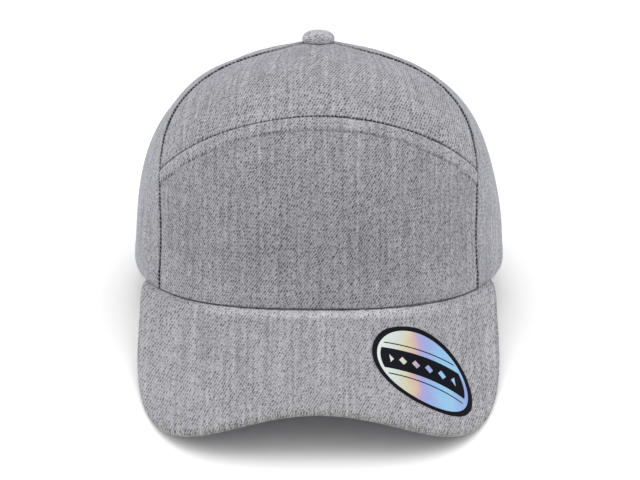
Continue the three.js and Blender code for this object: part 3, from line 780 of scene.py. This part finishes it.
def makePeak():
    half = peak["thick"] / 2
    turn = np.linspace(-1, 1, peak["columns"] + 1)
    outline = peak["halfWidth"] * np.sign(turn) * (1 - (1 - np.abs(turn)) ** 1.8)
    near = np.array(peak["closeRows"]) / peak["closeOf"]
    shares = np.concatenate([near, np.linspace(near[-1], 1, peak["rows"])[1:]])
    x = np.repeat((outline * (peak["halfWidth"] - half) / peak["halfWidth"])[:, None], len(shares), axis=1)
    reach = (peakReach(outline) - half)[:, None]
    run = shares[None, :] * reach
    base = peakPoint(x, run)
    normal = peakNormal(x, run)
    toEdge = np.minimum(reach - run, peak["halfWidth"] - half - np.abs(x))

    # The cover swells over its seam with the crown, puckers there, and is a little wavy everywhere
    wave = ripple(x, run, peak["waveLength"], 71) * smooth(toEdge, 0, peak["calm"]) * smooth(run, 0, peak["calm"])
    lift = peak["cover"] * (1 - smooth(run, *peak["sinkRun"])) + peak["swell"] * raised(run, *peak["swellRun"])
    lift = lift + puckers(peak, x, run, 73) + peak["wave"] * wave
    lift = lift + peak["dimple"] * ripple(x, run, peak["dimpleLength"], 72) * smooth(toEdge, 0, 2)
    upper = base + normal * lift[..., None]
    lower = base - normal * peak["thick"]
    wide, tall = x.shape
    size = wide * tall

    # The outer edge, from the left end of the rim round the front to its right end, rolled over in rings
    chain = np.concatenate([
        np.arange(tall), np.arange(1, wide) * tall + tall - 1, (wide - 1) * tall + np.arange(tall - 2, -1, -1)])
    flatBase, flatNormal = base.reshape(-1, 3), normal.reshape(-1, 3)
    outwards = unit(np.cross(flatNormal[chain], unit(np.gradient(flatBase[chain], axis=0))))
    if outwards[len(chain) // 2, 1] > 0:
        outwards = -outwards
    flat = np.stack([x, -peak["uvScale"] * run], axis=-1).reshape(-1, 2)
    uvOut = unit(outwards[:, :2])
    points = [upper.reshape(-1, 3), lower.reshape(-1, 3)]
    uv = [flat, flat * (1, -1) + peak["undersideUv"]]
    rings = peak["rollSteps"] - 1
    for k in range(1, peak["rollSteps"]):
        angle = math.pi * k / peak["rollSteps"]
        points.append(flatBase[chain] + outwards * half * math.sin(angle)
                      - flatNormal[chain] * half * (1 - math.cos(angle)))
        uv.append(flat[chain] + uvOut * half * angle)
    faces = [gridQuads(wide, tall), gridQuads(wide, tall, size, inwards=True)]
    loops = [chain] + [2 * size + k * len(chain) + np.arange(len(chain)) for k in range(rings)] + [size + chain]
    for first, second in zip(loops, loops[1:]):
        faces.append(np.stack([first[:-1], first[1:], second[1:], second[:-1]], axis=1))

    # A ledge that is sewn in under the rim of the crown
    rim = np.arange(wide) * tall
    inward = unit(-base[:, 0] * (1, 1, 0)) * peak["ledge"]
    points += [base[:, 0] + inward + (0, 0, -0.2), lower[:, 0] + inward]
    uv += [flat[rim] + (0, 2), flat[rim] + peak["undersideUv"] + (0, 2)]
    top = 2 * size + rings * len(chain) + np.arange(wide)
    under = top + wide
    for first, second in ((rim, top), (top, under), (under, size + rim)):
        faces.append(np.stack([first[:-1], second[:-1], second[1:], first[1:]], axis=1))
    points = np.concatenate(points)
    for end, last in ((0, 0), (wide - 1, len(chain) - 1)):
        sideways = [2 * size + k * len(chain) + last for k in range(rings)]
        faces.append([[rim[end], *sideways, size + rim[end], under[end], top[end]]])
    faces = [list(face) for block in faces for face in block]

    rest = len(points) - 2 * size
    # Painted shadow in the joint with the crown, a painted highlight on the swell in front of it, and the whole cover
    # a little paler
    dark = (1 - smooth(run, 0, peak["seamDarkRun"])) * (1 - smooth(np.abs(x), *peak["seamDarkTo"]))
    dark = peak["seamDark"] * dark.ravel()
    ridgeHighlight = raised(run, *peak["seamHighlightRun"]) * (1 - smooth(np.abs(x), *peak["seamHighlightTo"]))
    light = np.full(len(points), peak["light"])
    light[:size] += peak["seamHighlight"] * ridgeHighlight.ravel()
    rimRun = lengthAlong(flatBase[chain], 0)
    nearest = np.array([np.argmin(((flatBase[chain] - point) ** 2).sum(1)) for point in flatBase])
    ticks = ((1 - smooth(toEdge, *peak["tickWidth"])) * smooth(reach, *peak["tickFrom"])).ravel()
    marks = {
        "paintedShade": [dark, dark, np.zeros(rest)], "rubbed": [light],
        "edgeTicks": [ticks, np.zeros(size), np.ones(rings * len(chain)), np.zeros(2 * wide)],
        "edgeRun": [rimRun[nearest], np.zeros(size), np.tile(rimRun, rings), np.zeros(2 * wide)]}
    marks = {key: np.concatenate(values) for key, values in marks.items()}
    settle(makePiece("peak", points, faces, peakTwill, np.concatenate(uv), marks), "cap_cloth", "peak")


makePeak()
print("peak covered")


# Label on the peak

label = {
    "x": 47.4, "run": 38.3, "radius": 22.9, "thick": 0.45, "rise": 0.06, "soften": 0.12, "softenRun": 0.6,
    "rings": 24, "sectors": 96,
    "bandTurn": -8, "rimTaper": 1.02, "rimShift": 0.75, "rimFrom": 20.7, "bandHalf": 6.2, "bandReach": 19.2,
    "lineAt": 9.4, "lineHalf": 0.35, "diamondPitch": 6.0, "diamondSlant": 1.25, "diamondHalf": 2.3,
    "diamondsReach": 15, "ink": "070912", "metal": 0.35, "wavesPerMm": 0.09, "waves": 0.3,
    "foil": [(0.0, "c3c8c4"), (0.2, "b9c1bd"), (0.33, "c0bb9f"), (0.39, "c2a69c"), (0.46, "a69ac0"),
             (0.56, "929fce"), (0.7, "8cb6d8"), (0.86, "90bad8"), (1.0, "8b9bd0")],
}


def labelPoint(radius, angle, height):
    x = label["x"] + radius * np.cos(angle)
    slope = math.cos(math.radians(peak["droop"]))
    y = rimAt(np.array(label["x"]))[0] - (label["run"] - radius * np.sin(angle)) * slope
    run = (rimAt(x)[0] - y) / slope
    return peakPoint(x, run) + peakNormal(x, run) * height[..., None]


# Printed hologram foil under clear varnish: a black rim and band on foil whose tint drifts across it
def foilLabel(name):
    material, tree, shader = newMaterial(name)
    uv = addNode(tree, "ShaderNodeUVMap", uv_map="clothUv")
    turned = addNode(tree, "ShaderNodeMapping", {"Vector": uv, "Rotation": (0, 0, math.radians(label["bandTurn"]))})
    x, y = addNode(tree, "ShaderNodeSeparateXYZ", [turned]).outputs[:2]
    across = addNode(tree, "ShaderNodeMath", [x], operation="ABSOLUTE")
    height = addNode(tree, "ShaderNodeMath", [y], operation="ABSOLUTE")
    oval = addNode(tree, "ShaderNodeVectorMath", [uv, (1, label["rimTaper"], 1), (0, label["rimShift"], 0)],
                   operation="MULTIPLY_ADD")
    radius = addNode(tree, "ShaderNodeVectorMath", [oval], operation="LENGTH").outputs["Value"]
    rim = addNode(tree, "ShaderNodeMath", [radius, label["rimFrom"]], operation="GREATER_THAN")
    inside = addNode(tree, "ShaderNodeMath", [radius, label["bandReach"]], operation="LESS_THAN")

    # A row of diamonds left out of the band, and a thin line above and below it
    repeat = addNode(tree, "ShaderNodeMath", [x, label["diamondPitch"] / 2], operation="PINGPONG")
    slant = addNode(tree, "ShaderNodeMath", [label["diamondPitch"] / 2, repeat], operation="SUBTRACT")
    slant = addNode(tree, "ShaderNodeMath", [slant, label["diamondSlant"], height], operation="MULTIPLY_ADD")
    diamond = addNode(tree, "ShaderNodeMath", [slant, label["diamondHalf"]], operation="LESS_THAN")
    inRow = addNode(tree, "ShaderNodeMath", [across, label["diamondsReach"]], operation="LESS_THAN")
    diamond = addNode(tree, "ShaderNodeMath", [diamond, inRow], operation="MULTIPLY")
    band = addNode(tree, "ShaderNodeMath", [height, label["bandHalf"]], operation="LESS_THAN")
    band = addNode(tree, "ShaderNodeMath", [band, inside], operation="MULTIPLY")
    band = addNode(tree, "ShaderNodeMath", [band, diamond], operation="SUBTRACT")
    lines = addNode(tree, "ShaderNodeMath", [height, label["lineAt"], label["lineHalf"]], operation="COMPARE")
    lines = addNode(tree, "ShaderNodeMath", [lines, inside], operation="MULTIPLY")
    dark = addNode(tree, "ShaderNodeMath", [lines, band], operation="MAXIMUM")
    dark = addNode(tree, "ShaderNodeMath", [rim, dark], operation="MAXIMUM")

    # The foil's tints, from one side to the other
    wave = addNode(tree, "ShaderNodeTexNoise", {"Vector": uv, "Scale": label["wavesPerMm"], "Detail": 1})
    drift = addNode(tree, "ShaderNodeMath", [x, 0.5 / label["rimFrom"], 0.5], operation="MULTIPLY_ADD")
    stray = addNode(tree, "ShaderNodeMath", [wave, label["waves"], -0.5 * label["waves"]], operation="MULTIPLY_ADD")
    drift = addNode(tree, "ShaderNodeMath", [drift, stray], operation="ADD")
    drift = addNode(tree, "ShaderNodeMath", [y, -0.004, drift], operation="MULTIPLY_ADD")
    foil = addNode(tree, "ShaderNodeValToRGB", [drift])
    stops = foil.color_ramp.elements
    for stop, (position, colour) in zip((stops[0], stops[1]), (label["foil"][0], label["foil"][-1])):
        stop.position, stop.color = position, hexColour(colour)
    for position, colour in label["foil"][1:-1]:
        stops.new(position).color = hexColour(colour)
    printed = addNode(tree, "ShaderNodeMix", {
        "Factor": dark.outputs[0], "A": foil.outputs["Color"], "B": hexColour(label["ink"])}, data_type="RGBA")
    metal = addNode(tree, "ShaderNodeMath", [dark, -label["metal"], label["metal"]], operation="MULTIPLY_ADD")
    feed(shader, {
        "Base Color": printed.outputs["Result"], "Metallic": metal, "Roughness": 0.36, "Specular IOR Level": 0.06})
    return material


def makeLabel():
    count = label["sectors"]
    angles = np.linspace(0, 2 * math.pi, count, endpoint=False)
    round2 = np.stack([np.cos(angles), np.sin(angles)], axis=-1)
    top = label["rise"] + label["thick"]
    radii = label["radius"] * np.sin(np.linspace(0, 1, label["rings"] + 1)[1:] * math.pi / 2)
    softened = label["soften"] * np.maximum(0, 1 - (label["radius"] - radii) / label["softenRun"])
    levels = [(radius, top - drop, 1) for radius, drop in zip(radii, softened)]
    levels += [(label["radius"], label["rise"], 1.02), (label["radius"] * 0.5, label["rise"], 1.02)]
    points = [labelPoint(np.zeros(1), np.zeros(1), np.full(1, top))]
    uv = [np.zeros((1, 2))]
    for radius, height, scale in levels:
        points.append(labelPoint(np.full(count, radius), angles, np.full(count, height)))
        uv.append(round2 * radius * scale)
    points.append(labelPoint(np.zeros(1), np.zeros(1), np.full(1, label["rise"])))
    uv.append(np.zeros((1, 2)))
    last = 1 + len(levels) * count
    neighbours = [(k, (k + 1) % count) for k in range(count)]
    faces = [[0, 1 + k, 1 + n] for k, n in neighbours]
    for inner in range(1, last - count, count):
        faces += [[inner + k, inner + count + k, inner + count + n, inner + n] for k, n in neighbours]
    faces += [[last, last - count + n, last - count + k] for k, n in neighbours]
    piece = makePiece("peak_sticker", np.concatenate(points), faces, foilLabel("printedFoil"), np.concatenate(uv))
    settle(piece, "label_foil", "peak_sticker")


makeLabel()
print("label laid on")


# Button on top, covered in the same cloth

button = {
    "radius": 8.0, "height": 4.8, "rimHeight": 1.6, "rimDrop": 0.7, "gap": 0.3, "creases": 17, "crease": 0.16,
    "creaseWidth": 0.07, "shank": 2.2, "discRadius": 5.0, "discDrop": 1.5, "discThick": 1.0, "sectors": 96,
    # underside: painted shade under the button's rim, where it overhangs the crown
    "light": 0.3, "underside": 0.7, "uvShift": 900,
}


def makeButton():
    top = crown["height"] + apex["rise"]
    base = top + button["gap"]
    under = top - cloth["thick"] - button["discDrop"]
    radius, disc, foot = button["radius"], button["discRadius"], under - button["discThick"]
    domeFoot = base + button["rimHeight"] - button["rimDrop"]
    domeRise = button["height"] - button["rimHeight"] + button["rimDrop"]
    profile = [
        (0, foot), (disc - 0.4, foot), (disc, (foot + under) / 2), (disc - 0.4, under),
        (button["shank"], under), (button["shank"], base - 0.4), (radius - 2.2, base - 0.75),
        (radius - 0.9, base - button["rimDrop"] - 0.2), (radius - 0.35, base - 0.7), (radius - 0.08, base - 0.25),
        (radius, base + 0.3)]
    profile += [(radius * math.cos(a) ** 0.7, domeFoot + domeRise * math.sin(a))
                for a in np.linspace(0, math.pi / 2, 22)[:-1]] + [(0, domeFoot + domeRise)]
    profile = np.array(profile)

    # The cover's creases, uneven and deepest at its rim
    count = button["sectors"]
    turns = np.linspace(0, 2 * math.pi, count, endpoint=False)
    dice = np.random.default_rng(81)
    phases = dice.uniform(-0.3, 0.3, button["creases"])
    creaseAngles = (np.arange(button["creases"]) + phases) * 2 * math.pi / button["creases"]
    depth = np.zeros(count)
    for angle, strength in zip(creaseAngles, dice.uniform(0.3, 1.3, button["creases"])):
        depth += strength * line(np.angle(np.exp(1j * (turns - angle))), 0, button["creaseWidth"])
    run = lengthAlong(profile, 0)
    points, uv, shade = [], [], []
    for (r, z), far in zip(profile, run[-1] - run):
        cover = (r > 4) * (z > base - 1)
        squeeze = button["crease"] * depth * (1 - smooth(z, base - 0.5, base + 3.4)) * cover
        ring = r - squeeze + 0.05 * np.sin(3 * turns + 1) * cover
        points.append(np.stack([ring * np.sin(turns), apex["setBack"] - ring * np.cos(turns), np.full(count, z)], -1))
        uv.append(np.stack([-far * np.cos(turns), -far * np.sin(turns)], -1) + button["uvShift"])
        # Painted shade on the underside of the rim, where it overhangs the crown
        shade.append(np.full(count, button["underside"] * (z < base - 0.5 and r > 4)))
    close = np.arange(len(profile) - 1) * count
    seam = np.stack([close + count - 1, close + 2 * count - 1, close + count, close], axis=1)
    faces = np.concatenate([gridQuads(len(profile), count), seam])
    marks = {"paintedShade": np.concatenate(shade), "rubbed": np.full(len(profile) * count, button["light"])}
    piece = makePiece("top_button", np.concatenate(points), faces, clothTwill, np.concatenate(uv), marks)
    settle(piece, "cap_cloth", "top_button")


makeButton()
print("button covered")


# Sweatband

band = {
    "thick": 1.2, "depth": 2.35, "low": 0.004, "top": 0.17, "endAzimuth": 148, "columns": 261, "rows": 14,
    "wide": 32, "edgeSteps": (0, 0.08, 0.3, 0.6, 1.2), "wave": 0.12, "waveLength": 24,
}


def makeBand():
    azimuth = np.linspace(-band["endAzimuth"], band["endAzimuth"], band["columns"])
    edge = np.array(band["edgeSteps"]) / band["wide"]
    rise = np.concatenate([edge, np.linspace(edge[-1], 1 - edge[-1], band["rows"])[1:-1], 1 - edge[::-1]])
    u, v = np.meshgrid(azimuth, band["low"] + (band["top"] - band["low"]) * rise, indexing="ij")
    base = overCrown(u, v, np.full(u.shape, -band["depth"]))
    normal = crownNormal(u, v)
    up, along = lengthAlong(base, 1), lengthAlong(base, 0)
    roll = edgeRoll(np.minimum(np.minimum(up, up[:, -1:] - up), np.minimum(along, along[-1] - along)), band["thick"])
    wave = band["wave"] * ripple(along, up, band["waveLength"], 91) * smooth(up, 0, 6)
    points, faces = closedSkin(
        base - normal * roll[..., None], base - normal * (band["thick"] - roll + wave)[..., None])
    uv = np.stack([along, up], axis=-1).reshape(-1, 2)
    piece = makePiece("sweatband", points, faces, bandTape, np.tile(uv, (2, 1)))
    settle(piece, "sweatband_cloth", "sweatband")


makeBand()
print("sweatband sewn in")


# Strap with pegs and strap with holes

strap = {
    "thick": 1.3, "low": 4.0, "high": 24.0, "sewnAzimuth": 150, "freeAzimuth": 193.8, "setIn": 2.35,
    "pitch": 5.3, "pegRadius": 1.8, "holeRadius": 2.1, "proud": 1.0, "beforeMiddle": 3, "pastMiddle": 2,
    "bevel": 0.35, "gap": 0.35, "columns": 61, "rows": 13, "holeSides": 28, "pegSides": 24,
    "stepFrom": 9, "stepTo": 1.5,     # degrees before the other strap's end, where the lower one dips under it
}
snapsAt = [(180 + k * strap["pitch"] - strap["sewnAzimuth"]) * degreesToMm
           for k in range(-strap["beforeMiddle"], strap["pastMiddle"] + 1)]


def shareAtHeight(azimuth, z):
    low, high = np.zeros(np.shape(azimuth)), np.full(np.shape(azimuth), 0.5)
    for _ in range(30):
        t = (low + high) / 2
        below = crownPoint(azimuth, t)[..., 2] < z
        low, high = np.where(below, t, low), np.where(below, high, t)
    return low


# The strap laid flat in mm: x runs from its sewn end to its free end, y across it, z out of the cap
def flatBar(name, hasHoles):
    half = (strap["high"] - strap["low"]) / 2
    length = (strap["freeAzimuth"] - strap["sewnAzimuth"]) * degreesToMm
    mesh = bmesh.new()
    grid = []
    for x in np.linspace(0, length, strap["columns"]):
        past = max(0, x - (length - half)) / half
        reach = half * max(math.sqrt(max(1 - past * past, 0)), 0.05)
        grid.append([mesh.verts.new((x, row * reach, 0)) for row in np.linspace(-1, 1, strap["rows"])])
    for a, b in zip(grid, grid[1:]):
        for j in range(len(a) - 1):
            mesh.faces.new([a[j], b[j], b[j + 1], a[j + 1]])
    shell = bpy.data.meshes.new(name)
    mesh.to_mesh(shell)
    mesh.free()
    bar = addObject(name, shell)
    solidify = bar.modifiers.new("thickness", "SOLIDIFY")
    solidify.thickness = strap["thick"]
    solidify.offset = -1
    drills = []
    for x in snapsAt if hasHoles else ():
        tool = bmesh.new()
        bmesh.ops.create_cone(tool, cap_ends=True, segments=strap["holeSides"], radius1=strap["holeRadius"],
                              radius2=strap["holeRadius"], depth=10)
        bmesh.ops.translate(tool, verts=tool.verts, vec=(x, 0, 0))
        cutter = bpy.data.meshes.new("drill")
        tool.to_mesh(cutter)
        tool.free()
        drills.append(addObject("drill", cutter))
        cut = bar.modifiers.new("hole", "BOOLEAN")
        cut.object = drills[-1]
        cut.operation = "DIFFERENCE"
        cut.solver = "EXACT"
    bevel = bar.modifiers.new("edge", "BEVEL")
    bevel.width = strap["bevel"]
    bevel.segments = 3
    bevel.limit_method = "ANGLE"
    bevel.angle_limit = math.radians(50)
    graph = bpy.context.evaluated_depsgraph_get()
    shaped = bpy.data.meshes.new_from_object(bar.evaluated_get(graph))
    for item in (bar, *drills):
        bpy.data.objects.remove(item)
    return shaped


# A row of pegs as turned pins with rounded heads, their feet in the strap
def flatPegs():
    mesh = bmesh.new()
    tip = strap["thick"] + strap["gap"] + strap["proud"]
    r = strap["pegRadius"]
    profile = [(r * 0.92, -strap["thick"] / 2), (r * 0.92, tip - 0.9), (r, tip - 0.75), (r, tip - 0.45),
               (r * 0.9, tip - 0.15), (r * 0.65, tip)]
    angles = np.linspace(0, 2 * math.pi, strap["pegSides"], endpoint=False)
    for x in snapsAt:
        rings = [[mesh.verts.new((x + radius * math.cos(a), radius * math.sin(a), z)) for a in angles]
                 for radius, z in profile]
        middle = mesh.verts.new((x, 0, tip))
        for a, b in zip(rings, rings[1:]):
            for i in range(len(a)):
                j = (i + 1) % len(a)
                mesh.faces.new([a[i], a[j], b[j], b[i]])
        for i in range(len(angles)):
            mesh.faces.new([rings[-1][i], rings[-1][(i + 1) % len(angles)], middle])
        mesh.faces.new(rings[0][::-1])
    shell = bpy.data.meshes.new("pegs")
    mesh.to_mesh(shell)
    mesh.free()
    return shell


# Bends a flat strap round the back of the crown, at a depth under its outer face
def wrapStrap(mesh, side, depthAt):
    points = np.zeros(len(mesh.vertices) * 3)
    mesh.vertices.foreach_get("co", points)
    x, y, z = points.reshape(-1, 3).T
    azimuth = strap["sewnAzimuth"] + x / degreesToMm
    middle = (strap["low"] + strap["high"]) / 2
    t = shareAtHeight(side * azimuth, middle + y)
    return overCrown(side * azimuth, t, z - depthAt(azimuth)), [list(p.vertices) for p in mesh.polygons]


# The strap with pegs passes under the free end of the one with holes
def makeStraps():
    stepIn = strap["thick"] + strap["gap"]
    otherEnd = 360 - strap["freeAzimuth"]

    def outerDepth(azimuth):
        return np.full(np.shape(azimuth), strap["setIn"])

    def innerDepth(azimuth):
        return strap["setIn"] + stepIn * smooth(
            azimuth, otherEnd - strap["stepFrom"], otherEnd - strap["stepTo"])

    points, faces = wrapStrap(flatBar("holes", True), 1, outerDepth)
    settle(makePiece("snap_strap_holes", points, faces, strapPlastic), "strap_plastic", "snap_strap_holes")
    points, faces = wrapStrap(flatBar("pegs", False), -1, innerDepth)
    pegPoints, pegFaces = wrapStrap(flatPegs(), -1, innerDepth)
    faces += [[len(points) + k for k in face] for face in pegFaces]
    piece = makePiece("snap_strap_pegs", np.concatenate([points, pegPoints]), faces, strapPlastic)
    settle(piece, "strap_plastic", "snap_strap_pegs")


makeStraps()
print("straps snapped")


# Stitches, made by one Geometry Nodes tree that sets a thread on every step of a sewn line

def stitchTree():
    tree = bpy.data.node_groups.new("sewnLine", "GeometryNodeTree")
    face = tree.interface
    face.new_socket("Geometry", in_out="OUTPUT", socket_type="NodeSocketGeometry")
    for word, kind in (("Lines", "Geometry"), ("Pitch", "Float"), ("Length", "Float"), ("Radius", "Float"),
                       ("Turn", "Float"), ("Seed", "Int"), ("Thread", "Material")):
        face.new_socket(word, in_out="INPUT", socket_type="NodeSocket" + kind)
    given = addNode(tree, "NodeGroupInput").outputs
    outwards = addNode(tree, "GeometryNodeInputNamedAttribute", {"Name": "outwards"}, data_type="FLOAT_VECTOR")
    sewn = addNode(tree, "GeometryNodeMeshToCurve", {"Mesh": given["Lines"]})
    steps = addNode(tree, "GeometryNodeResampleCurve", {"Curve": sewn, "Length": given["Pitch"]}, mode="LENGTH")
    tangent = addNode(tree, "GeometryNodeInputTangent")
    turnX = addNode(tree, "FunctionNodeAlignRotationToVector", {"Vector": tangent}, axis="X")
    turnZ = addNode(tree, "FunctionNodeAlignRotationToVector", {"Rotation": turnX, "Vector": outwards},
                    axis="Z", pivot_axis="X")
    jitter = addNode(tree, "FunctionNodeRandomValue", {2: -0.09, 3: 0.09, "Seed": given["Seed"]}).outputs[1]
    around = addNode(tree, "ShaderNodeMath", [jitter, given["Turn"]], operation="ADD")
    spin = addNode(tree, "ShaderNodeCombineXYZ", {"Z": around})
    turned = addNode(tree, "FunctionNodeRotateRotation", {"Rotation": turnZ, "Rotate By": spin},
                     rotation_space="LOCAL")
    half = addNode(tree, "ShaderNodeMath", [given["Length"], 0.5], operation="MULTIPLY")
    minus = addNode(tree, "ShaderNodeMath", [given["Length"], -0.5], operation="MULTIPLY")
    sink = addNode(tree, "ShaderNodeMath", [given["Radius"], -1.4], operation="MULTIPLY")
    start = addNode(tree, "ShaderNodeCombineXYZ", {"X": minus, "Z": sink})
    middle = addNode(tree, "ShaderNodeCombineXYZ", {"Z": given["Radius"]})
    end = addNode(tree, "ShaderNodeCombineXYZ", {"X": half, "Z": sink})
    bow = addNode(tree, "GeometryNodeCurveQuadraticBezier", {
        "Resolution": 5, "Start": start, "Middle": middle, "End": end})
    ring = addNode(tree, "GeometryNodeCurvePrimitiveCircle", {"Resolution": 6, "Radius": given["Radius"]})
    stitch = addNode(tree, "GeometryNodeCurveToMesh", {"Curve": bow, "Profile Curve": ring, "Fill Caps": True})
    size = addNode(tree, "FunctionNodeRandomValue", {2: 0.88, 3: 1.08, "Seed": given["Seed"]}).outputs[1]
    laid = addNode(tree, "GeometryNodeInstanceOnPoints", {
        "Points": steps, "Instance": stitch, "Rotation": turned, "Scale": size})
    real = addNode(tree, "GeometryNodeRealizeInstances", {"Geometry": laid})
    coloured = addNode(tree, "GeometryNodeSetMaterial", {"Geometry": real, "Material": given["Thread"]})
    addNode(tree, "NodeGroupOutput", {"Geometry": coloured})
    return tree


sewnLine = stitchTree()


# One piece of thread: stitches along lines, each a pair of points and of outward directions
def sew(name, lines, slot, stitch):
    mesh = bpy.data.meshes.new(name)
    points = np.concatenate([toWorld(places) for places, _ in lines])
    outwards = np.concatenate([turnToWorld(normals) for _, normals in lines])
    edges, start = [], 0
    for places, _ in lines:
        edges += [(start + k, start + k + 1) for k in range(len(places) - 1)]
        start += len(places)
    mesh.from_pydata(points.tolist(), edges, [])
    attribute = mesh.attributes.new("outwards", "FLOAT_VECTOR", "POINT")
    attribute.data.foreach_set("vector", outwards.astype(np.float32).ravel())
    guide = addObject(name + "Guide", mesh)
    modifier = guide.modifiers.new("stitches", "NODES")
    modifier.node_group = sewnLine
    sockets = {item.name: item.identifier for item in sewnLine.interface.items_tree if item.in_out == "INPUT"}
    for word in ("Pitch", "Length", "Radius"):
        modifier[sockets[word]] = stitch[word] * metresPerMm
    modifier[sockets["Turn"]] = math.radians(stitch.get("Turn", 0))
    modifier[sockets["Seed"]] = stitch["Seed"]
    modifier[sockets["Thread"]] = seamThread
    graph = bpy.context.evaluated_depsgraph_get()
    made = bpy.data.meshes.new_from_object(guide.evaluated_get(graph))
    bpy.data.objects.remove(guide)
    made.shade_smooth()
    settle(addObject(name, made), slot)


def onCrown(azimuth, t, height):
    azimuth, t = np.broadcast_arrays(np.asarray(azimuth, float), np.asarray(t, float))
    return overCrown(azimuth, t, np.full(azimuth.shape, height)), crownNormal(azimuth, t)


ditchStitch = {"Pitch": 2.75, "Length": 1.5, "Radius": 0.17, "Turn": 72, "Seed": 3}
rowStitch = {"Pitch": 2.7, "Length": 2.1, "Radius": 0.2, "Seed": 5}
bandStitch = {"Pitch": 3.2, "Length": 2.5, "Radius": 0.2, "Seed": 7}
sewing = {
    "ditchDepth": 0.62, "ditchTop": 0.955,
    "openingEdge": 5.5, "openingFoot": 0.015,                  # the row round the back opening
    "strapRows": (151.5, 154.0), "strapMiddle": 152.0, "strapEdge": 1.5,
    "bandShares": (0.06, 0.93),
}


def sewSeams():
    t = np.linspace(0.012, sewing["ditchTop"], 160)
    u = np.linspace(-0.99, 0.99, 140)
    arch = archHeight(u)
    upper = np.linspace(backOpening["top"] + 0.01, sewing["ditchTop"], 110)
    paths = [(u * seamAzimuth(frontSeam, arch), arch)]
    paths += [(side * seamAzimuth(seam, t), t) for side in (-1, 1) for seam in (frontSeam, backSeam)]
    paths.append((180.0, upper))
    sew("seam_stitches", [onCrown(*path, -sewing["ditchDepth"]) for path in paths], "cap_cloth", ditchStitch)

    below = arch - topStitch["below"] / mmPerShare
    rows = [onCrown(u * (seamAzimuth(frontSeam, below) - 0.6), below, -0.2)]
    angle = np.linspace(-math.pi / 2, math.pi / 2, 120)
    half = backOpening["halfAngle"] + sewing["openingEdge"] / degreesToMm
    rise = backOpening["top"] + sewing["openingEdge"] / mmPerShare - sewing["openingFoot"]
    rows.append(onCrown(180 + half * np.sin(angle), sewing["openingFoot"] + rise * np.cos(angle), 0.32))
    ends = (strap["low"] + sewing["strapEdge"], strap["high"] - sewing["strapEdge"])
    low, high = (float(shareAtHeight(np.array(sewing["strapMiddle"]), z)) for z in ends)
    for side in (-1, 1):
        for azimuth in sewing["strapRows"]:
            rows.append(onCrown(side * azimuth, np.linspace(low, high, 14), 0.05))
    sew("top_stitches", rows, "cap_cloth", rowStitch)

    turns = np.linspace(-band["endAzimuth"] + 1, band["endAzimuth"] - 1, 300)
    rows = []
    for share in sewing["bandShares"]:
        height = band["low"] + (band["top"] - band["low"]) * share
        points, outward = onCrown(turns, height, -band["depth"] - band["thick"] - 0.05)
        rows.append((points, -outward))
    sew("sweatband_stitches", rows, "sweatband_cloth", bandStitch)


sewSeams()
print("stitches sewn")


# Room: a pale floor, soft light from above and both sides, and the camera

room = {"floor": ("f5f5f6", "f8f8f8"), "floorSize": 8, "world": 0.8, "lampsAimAt": (0, 0, 0.05)}
softBoxes = [
    {"name": "above", "at": (0, 0.1, 1.3), "size": 1.4, "watts": 9},
    {"name": "left", "at": (-1.2, -0.3, 0.6), "size": 0.9, "watts": 5},
    {"name": "right", "at": (1.2, -0.3, 0.6), "size": 0.9, "watts": 5},
]


# The floor is wall paint: matt and almost white, with a faint mottle
def makeRoom():
    material, tree, shader = newMaterial("paintedFloor")
    place = addNode(tree, "ShaderNodeTexCoord").outputs["Object"]
    mottle = addNode(tree, "ShaderNodeTexNoise", {"Vector": place, "Scale": 3, "Detail": 2})
    tint = addNode(tree, "ShaderNodeMix", {
        "Factor": mottle.outputs["Fac"], "A": hexColour(room["floor"][0]), "B": hexColour(room["floor"][1])},
        data_type="RGBA")
    feed(shader, {"Base Color": tint.outputs["Result"], "Roughness": 0.9})
    half = room["floorSize"] / 2
    corners = [(-half, -half, 0), (half, -half, 0), (half, half, 0), (-half, half, 0)]
    floor = makePiece("floor", np.array(corners), [[0, 1, 2, 3]], material, world=False)
    world = bpy.context.scene.world or bpy.data.worlds.new("paleRoom")
    bpy.context.scene.world = world
    world.use_nodes = True
    feed(world.node_tree.nodes["Background"], {"Color": (1, 1, 1, 1), "Strength": room["world"]})
    for box in softBoxes:
        lamp = bpy.data.lights.new(box["name"], "AREA")
        lamp.energy = box["watts"]
        lamp.size = box["size"]
        holder = addObject(box["name"], lamp)
        holder.location = box["at"]
        aim = Vector(room["lampsAimAt"]) - Vector(box["at"])
        holder.rotation_euler = aim.to_track_quat("-Z", "Y").to_euler()


view = {
    "target": (0.75, 31.46, 27.92), "elevation": 28.27, "distance": 1500, "focalPixels": 3000, "widePixels": 640,
    "sensor": 36,
}


def makeCamera():
    lens = bpy.data.cameras.new("camera")
    lens.sensor_width = view["sensor"]
    lens.lens = view["focalPixels"] / view["widePixels"] * view["sensor"]
    camera = addObject("camera", lens)
    rise = math.radians(view["elevation"])
    away = Vector((0, -math.cos(rise), math.sin(rise)))
    target = Vector(view["target"]) * metresPerMm
    camera.location = target + away * view["distance"] * metresPerMm
    camera.rotation_euler = (-away).to_track_quat("-Z", "Y").to_euler()
    bpy.context.scene.camera = camera


makeRoom()
makeCamera()
bpy.context.scene.view_settings.view_transform = "Standard"
print("room and camera set")
